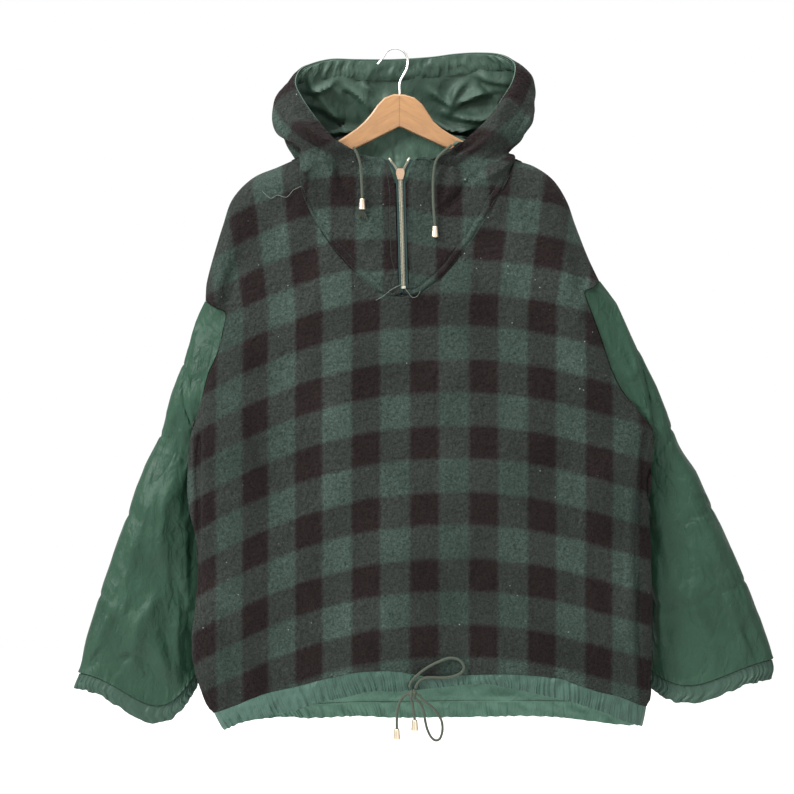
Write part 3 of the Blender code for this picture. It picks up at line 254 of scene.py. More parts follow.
# Soft folds of the body: a trough (negative) or ridge along a line, (x, z) to (x, z)
FOLD_COLUMNS = ("panel", "x0", "z0", "x1", "z1", "width", "rise")
FOLDS = [
    ("front", -226, -366, -204, -268, 13, -9),
    ("front", 261, -340, 246, -246, 13, -9),
    ("front", -196, -420, -214, -640, 26, 5),
    ("front", 262, -430, 292, -660, 28, 6),
    ("front", 232, -520, 252, -800, 26, -5),
    ("front", -168, -560, -150, -830, 24, -4),
    ("front", -60, -400, -110, -700, 34, 4),
    ("front", 120, -390, 160, -720, 34, 4),
    ("front", -118, -190, -150, -330, 20, 4),
    ("front", 160, -200, 190, -330, 20, 4),
    ("back", -150, -260, -170, -640, 34, 6),
    ("back", 190, -250, 220, -650, 34, 6),
    ("back", -40, -330, -60, -760, 30, -5),
    ("back", 90, -320, 110, -780, 32, -5),
]

# The hood and bib, one row for each section from the foot of the zip, up its left edge, round the
# rim and down to the zip again: the rim, the point the section bellies out to, and its outer seam.
# free is 0 where the piece lies on the chest and 1 where it stands clear of it.
HOOD_COLUMNS = ("rim_x", "rim_y", "rim_z", "belly_x", "belly_y", "belly_z", "free")
HOOD_LEFT = [
    (11.6, 0, -331, 11.3, 0, -334.5, 0),
    (8, 0, -322, -3, 0, -327.5, 0),
    (7, 0, -296, -16, 0, -305, 0),
    (5.8, 0, -262, -30, 0, -275, 0),
    (4.6, 0, -225, -40, 0, -243, 0),
    (3.4, 0, -188, -50, 0, -208, 0),
    (-8, 0, -154, -62, 0, -172, 0.1),
    (-28, -29, -149, -76, -31, -160, 0.5),
    (-50, -31, -143, -92, -34, -148, 1),
    (-72, -29, -130, -112, -32, -137, 1),
    (-92, -25, -110, -134, -24, -124, 1),
    (-109, -19, -88, -150, -10, -114, 1),
    (-123, -10, -67, -160, 8, -106, 1),
    (-133, 2, -45, -160, 26, -103, 1),
    (-128, 16, -25, -148, 44, -118, 1),
    (-112, 27, -15, -128, 57, -150, 1),
    (-84, 34, -8, -94, 64, -180, 1),
    (-50, 38, -8, -56, 67, -196, 1),
]
HOOD_RIGHT = [
    (52, 38, -5, 60, 67, -196, 1),
    (86, 35, -1, 104, 64, -182, 1),
    (120, 29, 0, 146, 56, -152, 1),
    (150, 18, -4, 178, 42, -112, 1),
    (167, 5, -18, 193, 26, -84, 1),
    (164, -7, -42, 194, 8, -82, 1),
    (149, -17, -68, 186, -10, -98, 1),
    (130, -24, -95, 171, -24, -115, 1),
    (108, -29, -117, 146, -33, -131, 1),
    (84, -31, -138, 122, -35, -148, 1),
    (60, -30, -150, 106, -32, -162, 0.6),
    (44, 0, -152, 96, 0, -171, 0.1),
    (28, 0, -155, 82, 0, -188, 0),
    (18.2, 0, -192, 70, 0, -215, 0),
    (19.2, 0, -226, 62, 0, -245, 0),
    (20.2, 0, -260, 52, 0, -275, 0),
    (21.0, 0, -292, 42, 0, -303, 0),
    (21.8, 0, -322, 30, 0, -327.5, 0),
    (14.6, 0, -331, 13, 0, -334.5, 0),
]
HOOD_MIDDLE = [(1, 38.5, -8, 2, 68, -202, 1)]
HOOD_ROWS = HOOD_LEFT + HOOD_MIDDLE + HOOD_RIGHT
BELLY_SHARES = (0, 0.3, 0.56, 0.76, 0.9, 1)   # the solid's steps from its rim or seam to the belly
HOOD_FULLNESS = 0.5      # how wide the belly of a section is
NECK_LIFT = 3.0          # how far the hood stands off the ends of the shoulder ridges
STRIP_FIRST = 17         # rows between which the hood's centre strip lies
STRIP_LAST = 19
LINING_FIRST = 9         # the lining starts where the bib leaves the chest
LINING_LAST = 28

# Sleeves: stations from just below the armhole to the cuff, outer and inner edge of the section
SLEEVE_COLUMNS = ("outer_x", "outer_y", "outer_z", "inner_x", "inner_y", "inner_z", "thick", "sag")
SLEEVES = {
    "left": [
        (-266, 3, -370, -280, -8, -528, 36, 0),
        (-283, 6, -425, -282, 4, -540, 42, 0),
        (-303, 8, -480, -280, 16, -556, 50, 2),
        (-325, 10, -543, -274, 28, -580, 56, 6),
        (-351, 10, -612, -262, 36, -625, 60, 14),
        (-378, 10, -690, -252, 40, -690, 62, 24),
        (-405, 11, -770, -254, 38, -765, 60, 38),
        (-428, 12, -848, -264, 28, -838, 54, 50),
        (-435, 12, -868, -263, 26, -862, 50, 52),
    ],
    "right": [
        (302, 2, -345, 359, -10, -528, 36, 0),
        (329, 6, -404, 366, 4, -542, 42, 0),
        (360, 8, -464, 366, 16, -562, 50, 2),
        (392, 10, -537, 358, 28, -590, 56, 6),
        (424, 10, -604, 344, 36, -634, 60, 12),
        (458, 10, -676, 334, 40, -696, 62, 15),
        (490, 11, -748, 336, 38, -768, 60, 20),
        (519, 12, -829, 351, 28, -842, 54, 26),
        (517, 12, -856, 349, 26, -866, 50, 26),
    ],
}
SLEEVE_FULLNESS = 0.8    # below 1 the section is fuller than an ellipse
SLEEVE_LAST = 7          # the station of the cuff seam
QUILT_LINES = (2.1, 3.75, 5.3, 6.7)      # in stations, from the seam of the armhole
CUFF_GATHER_RISE = 2.5
CUFF_INSET = 1.5         # how far a cuff lies inside the sleeve it closes
HEM_GATHER_RISE = 2.4

# Drawcords: (x, y, z) at the hood, and (x, z) at the hem, with the y of the cloth they lie on
CORD_ROUTES = {
    "hood_cord_left": [(-52, -37.5, -137), (-47, -38, -147), (-43.5, -37, -158), (-42, -36, -172),
                       (-41, -36.5, -190), (-40.6, -37.5, -206)],
    "hood_cord_right": [(80, -36.5, -134), (68, -37, -144), (60, -37, -153), (56, -36, -167),
                        (54.5, -36.5, -190), (55, -38.5, -214), (57, -41, -243)],
    "hem_cord_tail_left": [(23, -869), (19, -871), (14, -875), (9.5, -882), (7, -892), (6, -904), (6, -917)],
    "hem_cord_tail_right": [(26, -870), (25, -876), (27, -884), (28, -892), (29, -899), (30, -905)],
    "hem_cord_loop_upper": [(23, -861.5), (24, -857), (27.5, -851), (37, -842), (48, -834),
                            (63, -826.5), (76, -822), (88, -824), (95.5, -832), (93, -841),
                            (82, -846.5), (68, -848.5), (52, -848), (42, -849), (34.5, -855),
                            (30.5, -863)],
    "hem_cord_loop_lower": [(35, -871), (44, -881), (54, -889), (62, -899), (66.5, -909), (67, -921),
                            (63.5, -931), (57.5, -933), (51.5, -928), (46.5, -917), (43.5, -904),
                            (41.5, -892), (36, -882), (30, -876)],
}
CORD_END_LENGTH = 14.5

ZIP_LINE = [(10.5, -165), (11, -180), (11.6, -200), (13, -250), (14.2, -300), (14.9, -320.5)]
ZIP_V = {
    "left": [(-3, -153), (3, -160), (8, -169)],
    "right": [(22, -152.5), (17.5, -160), (13, -169)],
}
SLIDER_TOP = -165.0
SLIDER_LENGTH = 14.7
# %% [markdown]
# ## Curves and grids
# Every piece is a grid of points, a function of two parameters. A smooth curve through rows of a
# table gives one direction, another gives the second, and the same curve makes a coarse grid fine.

# %% Curves and grids
OUT = {"front": -1, "back": 1}     # the way along y that each panel of the torso faces


def unit(vectors):
    return vectors / np.maximum(np.linalg.norm(vectors, axis=-1, keepdims=True), 1e-9)


def distances(path):
    """How far each point of a path is from its start, along the path."""
    return np.concatenate([[0], np.cumsum(np.linalg.norm(np.diff(path, axis=0), axis=1))])


def bell(at, middle, width):
    """1 at the middle, and near 0 from twice the width on."""
    return np.exp(-((at - middle) / width) ** 2)


def arched(at, first, last, power=1.0):
    """An arch over 0 to 1 that starts and ends part of the way up: shares of half a wave."""
    return np.sin(np.pi * np.clip(first + (last - first) * at, 0, 1)) ** power


def lifted(grid, normal, rise):
    """A grid moved along its normals, by one number or by one for each point."""
    return grid + np.asarray(rise)[..., None] * normal


def read_at(at, known, table):
    """A table of numbers read between the known places of its rows."""
    return np.stack([np.interp(at, known, table[:, k]) for k in range(table.shape[1])], 1)


def smooth_rows(rows, at):
    """Each span is a cubic that passes through its two rows with the slope of their neighbours."""
    rows = np.asarray(rows, float)
    at = np.clip(np.asarray(at, float), 0, len(rows) - 1)
    padded = np.concatenate([2 * rows[:1] - rows[1:2], rows, 2 * rows[-1:] - rows[-2:-1]])
    first = np.minimum(at.astype(int), len(rows) - 2)
    t = (at - first).reshape((-1,) + (1,) * (rows.ndim - 1))
    p0, p1, p2, p3 = (padded[first + k] for k in range(4))
    return 0.5 * (2 * p1 + (p2 - p0) * t + (2 * p0 - 5 * p1 + 4 * p2 - p3) * t ** 2
                  + (3 * p1 - p0 - 3 * p2 + p3) * t ** 3)


def along(points, where):
    """Points at the given fractions of the length of a smooth curve through points."""
    dense = smooth_rows(points, np.linspace(0, len(points) - 1, 24 * len(points)))
    length = distances(dense)
    return read_at(np.asarray(where, float) * length[-1], length, dense)


def evenly(points, steps):
    return along(points, np.linspace(0, 1, steps + 1))


def join(*pieces):
    """Polylines end to end, the shared points once."""
    return np.vstack([pieces[0]] + [piece[1:] for piece in pieces[1:]])


def normals(grid, closed=False):
    """Unit normals of a grid of points from its own differences; closed wraps its columns."""
    if closed:
        across = np.roll(grid, -1, 1) - np.roll(grid, 1, 1)
    else:
        across = np.gradient(grid, axis=1)
    down = np.gradient(grid, axis=0)
    return unit(np.cross(across, down))


def facing(normal, towards):
    """The same normals, all turned to the side that `towards` points to on average."""
    return normal if np.sum(normal * towards) >= 0 else -normal


def flat(points):
    """Only x and z of a table of points."""
    return np.array([(point[0], point[-1]) for point in points], float)


def stepped(points, steps, finer):
    """Evenly spaced points along a curve, each straight step then cut into finer ones."""
    at = np.linspace(0, steps, steps * finer + 1)
    return read_at(at, np.arange(steps + 1), evenly(points, steps))


def refine(grid, down, across, closed=False):
    """A grid with `down` and `across` times as many cells, on smooth curves through its points."""
    rows = smooth_rows(grid, np.linspace(0, len(grid) - 1, (len(grid) - 1) * down + 1))
    turned = rows.swapaxes(0, 1)
    if closed:
        wrapped = np.concatenate([turned[-2:], turned, turned[:3]])
        at = 2 + np.arange(len(turned) * across) / across
        return smooth_rows(wrapped, at).swapaxes(0, 1)
    at = np.linspace(0, len(turned) - 1, (len(turned) - 1) * across + 1)
    return smooth_rows(turned, at).swapaxes(0, 1)


def arc_lengths(grid, axis):
    """Distance along each row (axis 1) or column (axis 0) from its start."""
    step = np.linalg.norm(np.diff(grid, axis=axis), axis=2)
    zero = np.zeros((1, grid.shape[1])) if axis == 0 else np.zeros((grid.shape[0], 1))
    return np.concatenate([zero, np.cumsum(step, axis)], axis)


def cloth_map(grid):
    """UV in metres along a grid's rows and columns."""
    return np.stack([arc_lengths(grid, 1), arc_lengths(grid, 0)], -1) * MM


def cloth(made, node, slot, grid, cut, held, closed=False, **more):
    """Puts cloth in its solid's place by hiding the solid."""
    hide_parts(node)


# %% [markdown]
# ## The hanging torso's depth
# The torso hangs nearly flat: towards its outline it rounds over as a quarter of an ellipse, and
# soft folds are troughs and ridges along short lines.

# %% The hanging torso's depth


def outline(side, panel):
    """The edges that a torso panel rounds towards: points (x, y, z) and the reach of the round."""
    edge = [evenly(RIDGE[side], 60), evenly(ARMHOLE[panel][side], 60), evenly(FLANK[side], 120),
            evenly(CORNER[side], 12)]
    reach = [RIDGE_ROUND, ARMHOLE_ROUND, SIDE_ROUND, SIDE_ROUND]
    return np.vstack(edge), np.concatenate([np.full(len(e), r) for e, r in zip(edge, reach)])


OUTLINES = {panel: [outline("left", panel), outline("right", panel)] for panel in ("front", "back")}


def torso_y(panel, x, z):
    """Depth of the torso's outer face over the points (x, z) of the garment's plane.

    Within the round's reach of an edge it falls from full depth to the edge's own y as a quarter
    of an ellipse, and soft folds are added along their lines.
    """
    x, z = np.asarray(x, float), np.asarray(z, float)
    shape = x.shape
    flat = np.stack([x.ravel(), z.ravel()], 1)
    edge = np.vstack([each[0] for each in OUTLINES[panel]])
    reach = np.concatenate([each[1] for each in OUTLINES[panel]])
    distance = np.linalg.norm(flat[:, None, :] - edge[None, :, (0, 2)], axis=2)
    nearest = distance.min(1)
    weight = np.exp(-(distance - nearest[:, None]) / 7.0)
    weight /= weight.sum(1, keepdims=True)
    edge_y, edge_reach = weight @ edge[:, 1], weight @ reach
    away = np.clip(nearest / edge_reach, 0, 1)
    roundness = np.sqrt(1 - (1 - away) ** 2)
    table = np.array(DEPTHS, float)[::-1]
    column = DEPTH_COLUMNS.index(panel)
    full = np.interp(flat[:, 1], table[:, 0], table[:, column])
    full = full + folds(panel, flat[:, 0], flat[:, 1])
    return (edge_y * (1 - roundness) + OUT[panel] * full * roundness).reshape(shape)


def folds(panel, x, z):
    rise = np.zeros_like(x)
    for row in FOLDS:
        fold = dict(zip(FOLD_COLUMNS, row))
        if fold["panel"] != panel:
            continue
        start = np.array([fold["x0"], fold["z0"]], float)
        run = np.array([fold["x1"], fold["z1"]], float) - start
        t = ((x - start[0]) * run[0] + (z - start[1]) * run[1]) / (run @ run)
        t = np.clip(t, 0, 1)
        off = np.hypot(x - start[0] - t * run[0], z - start[1] - t * run[1])
        rise += fold["rise"] * arched(t, 0.12, 1, 0.6) * bell(off, 0, fold["width"])
    return rise


def on_torso(panel, points, lift=0.0):
    """(x, z) points laid on a torso panel's outer face, moved out by lift."""
    points = np.asarray(points, float)
    y = torso_y(panel, points[..., 0], points[..., 1]) + OUT[panel] * lift
    return np.stack([points[..., 0], y, points[..., 1]], -1)


def patch(inner, outer, left, right, down):
    """A grid over a four-sided piece: rows run from its inner edge to its outer edge.

    Each column is a curve that turns to meet an armhole nearly square; near the left and right
    edges the columns are pushed aside so that the first and last follow them.
    """
    share = np.linspace(0, 1, len(inner))[None, :, None]
    b = np.asarray(down, float)[:, None, None]
    run = np.gradient(outer, axis=0)
    square = unit(np.stack([run[:, 1], -run[:, 0]], 1))
    across = outer - inner
    if np.sum(square * across) < 0:
        square = -square
    padded = np.vstack([square[:1]] * 2 + [square] + [square[-1:]] * 2)
    square = sum(weight * padded[k:k + len(square)] for k, weight in enumerate((1, 2, 3, 2, 1)))
    length = np.linalg.norm(across, axis=1, keepdims=True)
    from_end = np.minimum(np.arange(len(inner)), np.arange(len(inner))[::-1])[:, None]
    turned = SQUARENESS * np.clip(2.2 - from_end / (SEAM_STEPS + ARMHOLE_STEPS), 0, 1)
    arrive = length * (turned * unit(square) + (1 - turned) * across / length)
    grid = ((2 * b ** 3 - 3 * b ** 2 + 1) * inner[None] + (b ** 3 - 2 * b ** 2 + b) * across[None]
            + (3 * b ** 2 - 2 * b ** 3) * outer[None] + (b ** 3 - b ** 2) * arrive[None])
    off_left = left[:, None] - grid[:, :1]
    off_right = right[:, None] - grid[:, -1:]
    return grid + (1 - share) ** EDGE_HOLD * off_left + share ** EDGE_HOLD * off_right


# %% [markdown]
# ## Wrinkles
# Real cloth is never even. Three tools give its unevenness: slow waves in seeded directions, creases
# that are charted as lines in the photograph's frame, and gathers of unequal width.

# %% Wrinkles
CREASE_COLUMNS = ("u0", "v0", "u1", "v1", "bend", "width", "rise")


def unevenness(points, wavelength, seed, waves=11):
    """A sum of sine waves in random directions, with an overall height of about 1."""
    rng = np.random.default_rng(seed)
    direction = unit(rng.normal(size=(waves, 3)))
    pace = 2 * np.pi / (wavelength * rng.uniform(0.7, 1.6, waves))
    phase = rng.uniform(0, 2 * np.pi, waves)
    return np.sin(points @ (direction * pace[:, None]).T + phase).sum(-1) / np.sqrt(waves)


def creases(points, rows):
    """Height of charted creases: a bell across each line, steeper below it than above.

    Widths and heights are millimetres; bend is how far the line bows, in pixels of the frame.
    """
    u, v = plane_to_pixel(points[..., 0], points[..., 2])
    rise = np.zeros_like(u)
    for row in rows:
        crease = dict(zip(CREASE_COLUMNS, row))
        run = np.array([crease["u1"] - crease["u0"], crease["v1"] - crease["v0"]], float)
        length = np.hypot(*run)
        t = ((u - crease["u0"]) * run[0] + (v - crease["v0"]) * run[1]) / length ** 2
        off = ((u - crease["u0"]) * -run[1] + (v - crease["v0"]) * run[0]) / length
        off = off - crease["bend"] * 4 * t * (1 - t)
        beyond = np.maximum(np.maximum(-t, t - 1), 0) * length * PIXEL
        off = off * PIXEL / crease["width"]
        off = np.where(off > 0, 1.5 * off, 0.8 * off)
        inside = np.sqrt(np.sin(np.pi * np.clip(t, 0.02, 0.98)))
        rise += crease["rise"] * inside * np.exp(-off ** 2 - (beyond / crease["width"]) ** 2)
    return rise


def gathers(at, count, seed, least=0.35):
    """Raised cosine waves of unequal widths and heights, from 0 to 1, along at (0 to 1)."""
    rng = np.random.default_rng(seed)
    knots = np.concatenate([[0], np.cumsum(rng.uniform(0.5, 1.5, count))])
    phase = np.interp(at, knots / knots[-1], np.arange(count + 1))
    height = np.interp(phase, np.arange(count + 1), rng.uniform(least, 1, count + 1))
    return height * (0.5 - 0.5 * np.cos(2 * np.pi * phase))


# %% [markdown]
# ## From grid to mesh
# A shell is an outer grid, an inner one and a strip round the rim, so that cloth has a true edge.
# A cord is a grid round a path. Both carry a UV map for patterns that follow the surface.

# %% From grid to mesh


def make_mesh(name, points, faces, uv, material, sharp=60, mend=False):
    """A mesh at the origin: points in millimetres, faces, and a UV for each corner of a face."""
    mesh = bpy.data.meshes.new(name)
    mesh.from_pydata((np.asarray(points) * MM).tolist(), [], faces)
    if uv is not None:
        layer = mesh.uv_layers.new(name="weave")
        layer.data.foreach_set("uv", np.asarray(uv, np.float32).reshape(-1))
    mesh.materials.append(material)
    if mend:
        work = bmesh.new()
        work.from_mesh(mesh)
        bmesh.ops.recalc_face_normals(work, faces=work.faces)
        work.to_mesh(mesh)
        work.free()
    mesh.shade_smooth()
    mesh.set_sharp_from_angle(angle=math.radians(sharp))
    mesh.update()
    made = link(name, mesh)
    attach(made, GARMENT)
    return made


def quads_of(index):
    return np.stack([index[:-1, :-1], index[:-1, 1:], index[1:, 1:], index[1:, :-1]],
                    -1).reshape(-1, 4)


def shell(name, outer, inner, uv, material, closed=False):
    """A closed wall of cloth; uv has one more column than a closed grid, where it wraps."""
    rows, columns = outer.shape[:2]
    place = np.arange(rows * columns).reshape(rows, columns)
    if closed:
        place = np.hstack([place, place[:, :1]])
    corner = np.arange(uv.shape[0] * uv.shape[1]).reshape(uv.shape[:2])
    half, outward = rows * columns, quads_of(place)
    faces = [outward, outward[:, ::-1] + half]
    corners = [quads_of(corner), quads_of(corner)[:, ::-1]]
    rims = [(place[0], corner[0]), (place[-1, ::-1], corner[-1, ::-1])]
    if not closed:
        rims += [(place[::-1, 0], corner[::-1, 0]), (place[:, -1], corner[:, -1])]
    for edge, marks in rims:
        faces.append(np.stack([edge[1:], edge[:-1], edge[:-1] + half, edge[1:] + half], 1))
        corners.append(np.stack([marks[1:], marks[:-1], marks[:-1], marks[1:]], 1))
    faces, corners = np.vstack(faces), np.vstack(corners)
    points = np.vstack([outer.reshape(-1, 3), inner.reshape(-1, 3)])
    a, b, d = (points[outward[:, k]] for k in (0, 1, 3))
    if np.sum(np.cross(b - a, d - a) * (a - points[outward[:, 0] + half])) < 0:
        faces, corners = faces[:, ::-1], corners[:, ::-1]
    print(name, len(faces) * 2, "triangles")
    return make_mesh(name, points, faces.tolist(), uv.reshape(-1, 2)[corners], material)


def frames_along(path):
    """Two directions square to a path, at each of its points, that never spin."""
    tangent = unit(np.gradient(path, axis=0))
    side = np.empty_like(tangent)
    side[0] = unit(np.cross(tangent[0], (0.2, 1.0, 0.1)))
    for k in range(1, len(path)):
        side[k] = unit(side[k - 1] - tangent[k] * (side[k - 1] @ tangent[k]))
    return side, np.cross(tangent, side)


def tube(name, path, radius, material, around=12):
    """A round tube: a circle of the given radius (one, or one for each point) along a path."""
    path = np.asarray(path, float)
    radius = np.broadcast_to(np.asarray(radius, float), (len(path),))
    side, up = frames_along(path)
    angle = 2 * np.pi * np.arange(around) / around
    ring = np.cos(angle)[None, :, None] * side[:, None] + np.sin(angle)[None, :, None] * up[:, None]
    points = (path[:, None] + radius[:, None, None] * ring).reshape(-1, 3)
    points = np.vstack([points, path[:1], path[-1:]])
    first, last = len(points) - 2, len(points) - 1
    place = np.arange(len(path) * around).reshape(len(path), around)
    place = np.hstack([place, place[:, :1]])
    rim, foot = place[0].tolist(), place[-1].tolist()
    faces = quads_of(place).tolist()
    faces += [[two, one, first] for one, two in zip(rim, rim[1:])]
    faces += [[one, two, last] for one, two in zip(foot, foot[1:])]
    far = distances(path)
    uv = np.stack(np.broadcast_arrays(np.arange(around + 1) / around, far[:, None]), -1)
    corner = np.arange(uv.shape[0] * uv.shape[1]).reshape(uv.shape[:2])
    marks = uv.reshape(-1, 2)[quads_of(corner)].reshape(-1, 2)
    return make_mesh(name, points, faces, np.vstack([marks, np.zeros((6 * around, 2))]), material,
                     mend=True)


def copies(name, shape, shape_faces, places, axes, material):
    """Many copies of one small shape: each is turned to its own three axes and put in its place."""
    points = np.einsum("nij,kj->nki", np.swapaxes(np.asarray(axes), 1, 2), shape)
    points = points + np.asarray(places)[:, None]
    shift = (np.arange(len(places)) * len(shape))[:, None, None]
    faces = (shape_faces[None] + shift).reshape(-1, shape_faces.shape[1])
    print(name, len(places), "copies")
    return make_mesh(name, points.reshape(-1, 3), faces.tolist(), None, material, sharp=40)


# %% [markdown]
# ## Finishes
# Every material is built from nodes. A small helper adds a node and links its inputs, so that a
# finish reads from top to bottom. Numbers that are the same all over stay on the shader's sockets.

# %% Finishes: helpers


def add(tree, kind, inputs=(), **settings):
    """A shader node; an input that is a socket is linked, and any other value is set."""
    made = tree.nodes.new("ShaderNode" + kind)
    for key, value in settings.items():
        setattr(made, key, value)
    for key, value in dict(inputs).items():
        if isinstance(value, bpy.types.NodeSocket):
            tree.links.new(value, made.inputs[key])
        else:
            made.inputs[key].default_value = value
    return made


def new_finish(name, roughness, **sockets):
    made = bpy.data.materials.new(name)
    made.use_nodes = True
    shader = made.node_tree.nodes["Principled BSDF"]
    for key, value in dict(sockets, Roughness=roughness).items():
        shader.inputs[key.replace("_", " ")].default_value = value
    return made, made.node_tree


def finished(made, **sockets):
    """Links what the shader takes from nodes, and gives the material back."""
    shader = made.node_tree.nodes["Principled BSDF"]
    for key, value in sockets.items():
        made.node_tree.links.new(value, shader.inputs[key.replace("_", " ")])
    return made


def stretched(tree, vector, by):
    return add(tree, "VectorMath", {0: vector, 1: by}, operation="MULTIPLY").outputs[0]


def on_object(tree, stretch=(1, 1, 1)):
    return stretched(tree, add(tree, "TexCoord").outputs["Object"], stretch)


def on_weave(tree):
    return add(tree, "UVMap", uv_map="weave").outputs["UV"]


def parts_of(tree, vector):
    return add(tree, "SeparateXYZ", {0: vector}).outputs


def noise(tree, vector, scale, detail=2.0, distortion=0.0, rough=0.5):
    return add(tree, "TexNoise", {"Vector": vector, "Scale": scale, "Detail": detail,
                                  "Distortion": distortion, "Roughness": rough}).outputs["Fac"]


def ranged(tree, value, low, high, to_low, to_high, smooth=False):
    return add(tree, "MapRange", {"Value": value, "From Min": low, "From Max": high,
                                  "To Min": to_low, "To Max": to_high},
               interpolation_type="SMOOTHSTEP" if smooth else "LINEAR").outputs["Result"]


def mixed(tree, factor, one, two, blend="MIX"):
    return add(tree, "Mix", {0: factor, 6: one, 7: two}, data_type="RGBA",
               blend_type=blend).outputs[2]


def bumped(tree, height, strength, distance, under=None):
    inputs = {"Height": height, "Strength": strength, "Distance": distance}
    if under is not None:
        inputs["Normal"] = under
    return add(tree, "Bump", inputs).outputs["Normal"]


def calc(tree, operation, a, b=0.0):
    return add(tree, "Math", {0: a, 1: b}, operation=operation).outputs[0]


def shaded(tree, colour, shade):
    """A colour times one number."""
    grey = add(tree, "CombineColor", {0: shade, 1: shade, 2: shade}).outputs[0]
    return mixed(tree, 1.0, colour, grey, "MULTIPLY")


def darker(colour, by):
    return tuple(by * c for c in colour[:3]) + (1,)


# %% [markdown]
# ### Checked fleece
# The cloth is a gingham: dark stripes both ways over green, darkest where they cross. The UV map
# counts stripes, so a whole number is the middle of one. The pile blurs each edge and speckles all.

# %% Checked fleece
STRIPE_HALF, STRIPE_EDGE, STRIPE_SHIFT = 0.245, 0.045, 0.47     # of a repeat
PILE_BLUR = 0.06         # of a repeat, how far the pile throws a stripe's edge
LINT = (0.22, 0.24, 0.22, 1)
FLEECE_DARK = (0.0080, 0.0054, 0.0052, 1)
FLEECE_BETWEEN = (0.0160, 0.0188, 0.0164, 1)
FLEECE_GREEN = (0.0195, 0.0300, 0.0250, 1)
FLEECE_PALE = (0.0262, 0.0400, 0.0332, 1)


def checked_fleece():
    made, tree = new_finish("checked_fleece", 0.96, Sheen_Weight=0.02, Specular_IOR_Level=0.05)
    place = on_object(tree)
    fuzz = add(tree, "TexNoise", {"Vector": place, "Scale": 330.0, "Detail": 4.0})
    blurred = add(tree, "VectorMath", {0: fuzz.outputs["Color"], 1: (PILE_BLUR, PILE_BLUR, 0),
                                       2: on_weave(tree)}, operation="MULTIPLY_ADD").outputs[0]
    split = parts_of(tree, blurred)
    stripes = []
    for axis in (0, 1):
        part = calc(tree, "FRACT", calc(tree, "ADD", split[axis], STRIPE_SHIFT))
        away = calc(tree, "ABSOLUTE", calc(tree, "SUBTRACT", part, 0.5))
        stripes.append(ranged(tree, away, STRIPE_HALF - STRIPE_EDGE, STRIPE_HALF + STRIPE_EDGE, 1, 0,
                              True))
    turned = add(tree, "Math", {0: split[0], 1: 0.5 * math.pi, 2: -1.75 * math.pi},
                 operation="MULTIPLY_ADD").outputs[0]
    pale = ranged(tree, calc(tree, "COSINE", turned), -1, 1, 0.0, 1.0)
    ground = mixed(tree, pale, FLEECE_GREEN, FLEECE_PALE)
    either = calc(tree, "MAXIMUM", *stripes)
    both = calc(tree, "MULTIPLY", *stripes)
    cloth = mixed(tree, both, mixed(tree, either, ground, FLEECE_BETWEEN), FLEECE_DARK)
    pile = noise(tree, place, 360.0, 4.0, 0.5, 0.7)
    slow = noise(tree, place, 11.0, 4.0)
    shade = calc(tree, "MULTIPLY", ranged(tree, pile, 0.3, 0.7, 0.42, 1.68),
                 ranged(tree, slow, 0.3, 0.7, 0.82, 1.20))
    cloth = shaded(tree, cloth, shade)
    lint = add(tree, "TexVoronoi", {"Vector": place, "Scale": 95.0, "Randomness": 1.0})
    speck = ranged(tree, lint.outputs["Distance"], 0.05, 0.09, 0.8, 0)
    rare = ranged(tree, noise(tree, place, 41.0, 1.0), 0.60, 0.66, 0, 1)
    cloth = mixed(tree, calc(tree, "MULTIPLY", speck, rare), cloth, LINT)
    nap = bumped(tree, pile, 1.0, 0.0034)
    tufts = bumped(tree, noise(tree, place, 150.0, 3.0), 0.8, 0.006, nap)
    return finished(made, Base_Color=cloth, Normal=tufts)


# %% [markdown]
# ### Nylon
# The sleeves, casings and lining are a fine plain-woven nylon. Seen from a step away its threads are
# below sight, so its look is a satin sheen broken by many small creases.

# %% Nylon


def nylon(name, colour, second, roughness, crease=0.5, fine=70.0, depth=0.0035):
    made, tree = new_finish(name, roughness, Specular_IOR_Level=0.16)
    place = on_object(tree)
    slow = noise(tree, place, 14.0, 4.0, 0.6)
    cloth = mixed(tree, ranged(tree, slow, 0.35, 0.65, 0, 1), colour, second)
    thread = noise(tree, on_object(tree, (1, 1, 0.35)), 900.0, 2.0)
    cloth = shaded(tree, cloth, ranged(tree, thread, 0.3, 0.7, 0.9, 1.1))
    crinkle = noise(tree, on_object(tree, (1, 1, 0.55)), fine, 5.0, 0.9, 0.45)
    big = bumped(tree, crinkle, crease, depth)
    small = bumped(tree, noise(tree, on_object(tree, (1, 1, 0.7)), 2.6 * fine, 3.0, 0.5),
                   0.5 * crease, 0.4 * depth, big)
    return finished(made, Base_Color=cloth, Normal=bumped(tree, thread, 0.12, 0.0004, small),
                    Roughness=ranged(tree, slow, 0.3, 0.7, roughness - 0.07, roughness + 0.1))


# %% [markdown]
# ### Wood, metal, cord and tape
# The hanger is pale beech under varnish: long grain with short dark flecks. The cord's braid and the
# tape's ribs follow their UV maps, so they turn with the cord; their grooves carry painted shade.

# %% Wood, metal, cord and tape
HANGER_JOINT = 0.0095    # where the two arms meet, metres
ARM_COS, ARM_SIN = 0.88, 0.48      # the slope of an arm


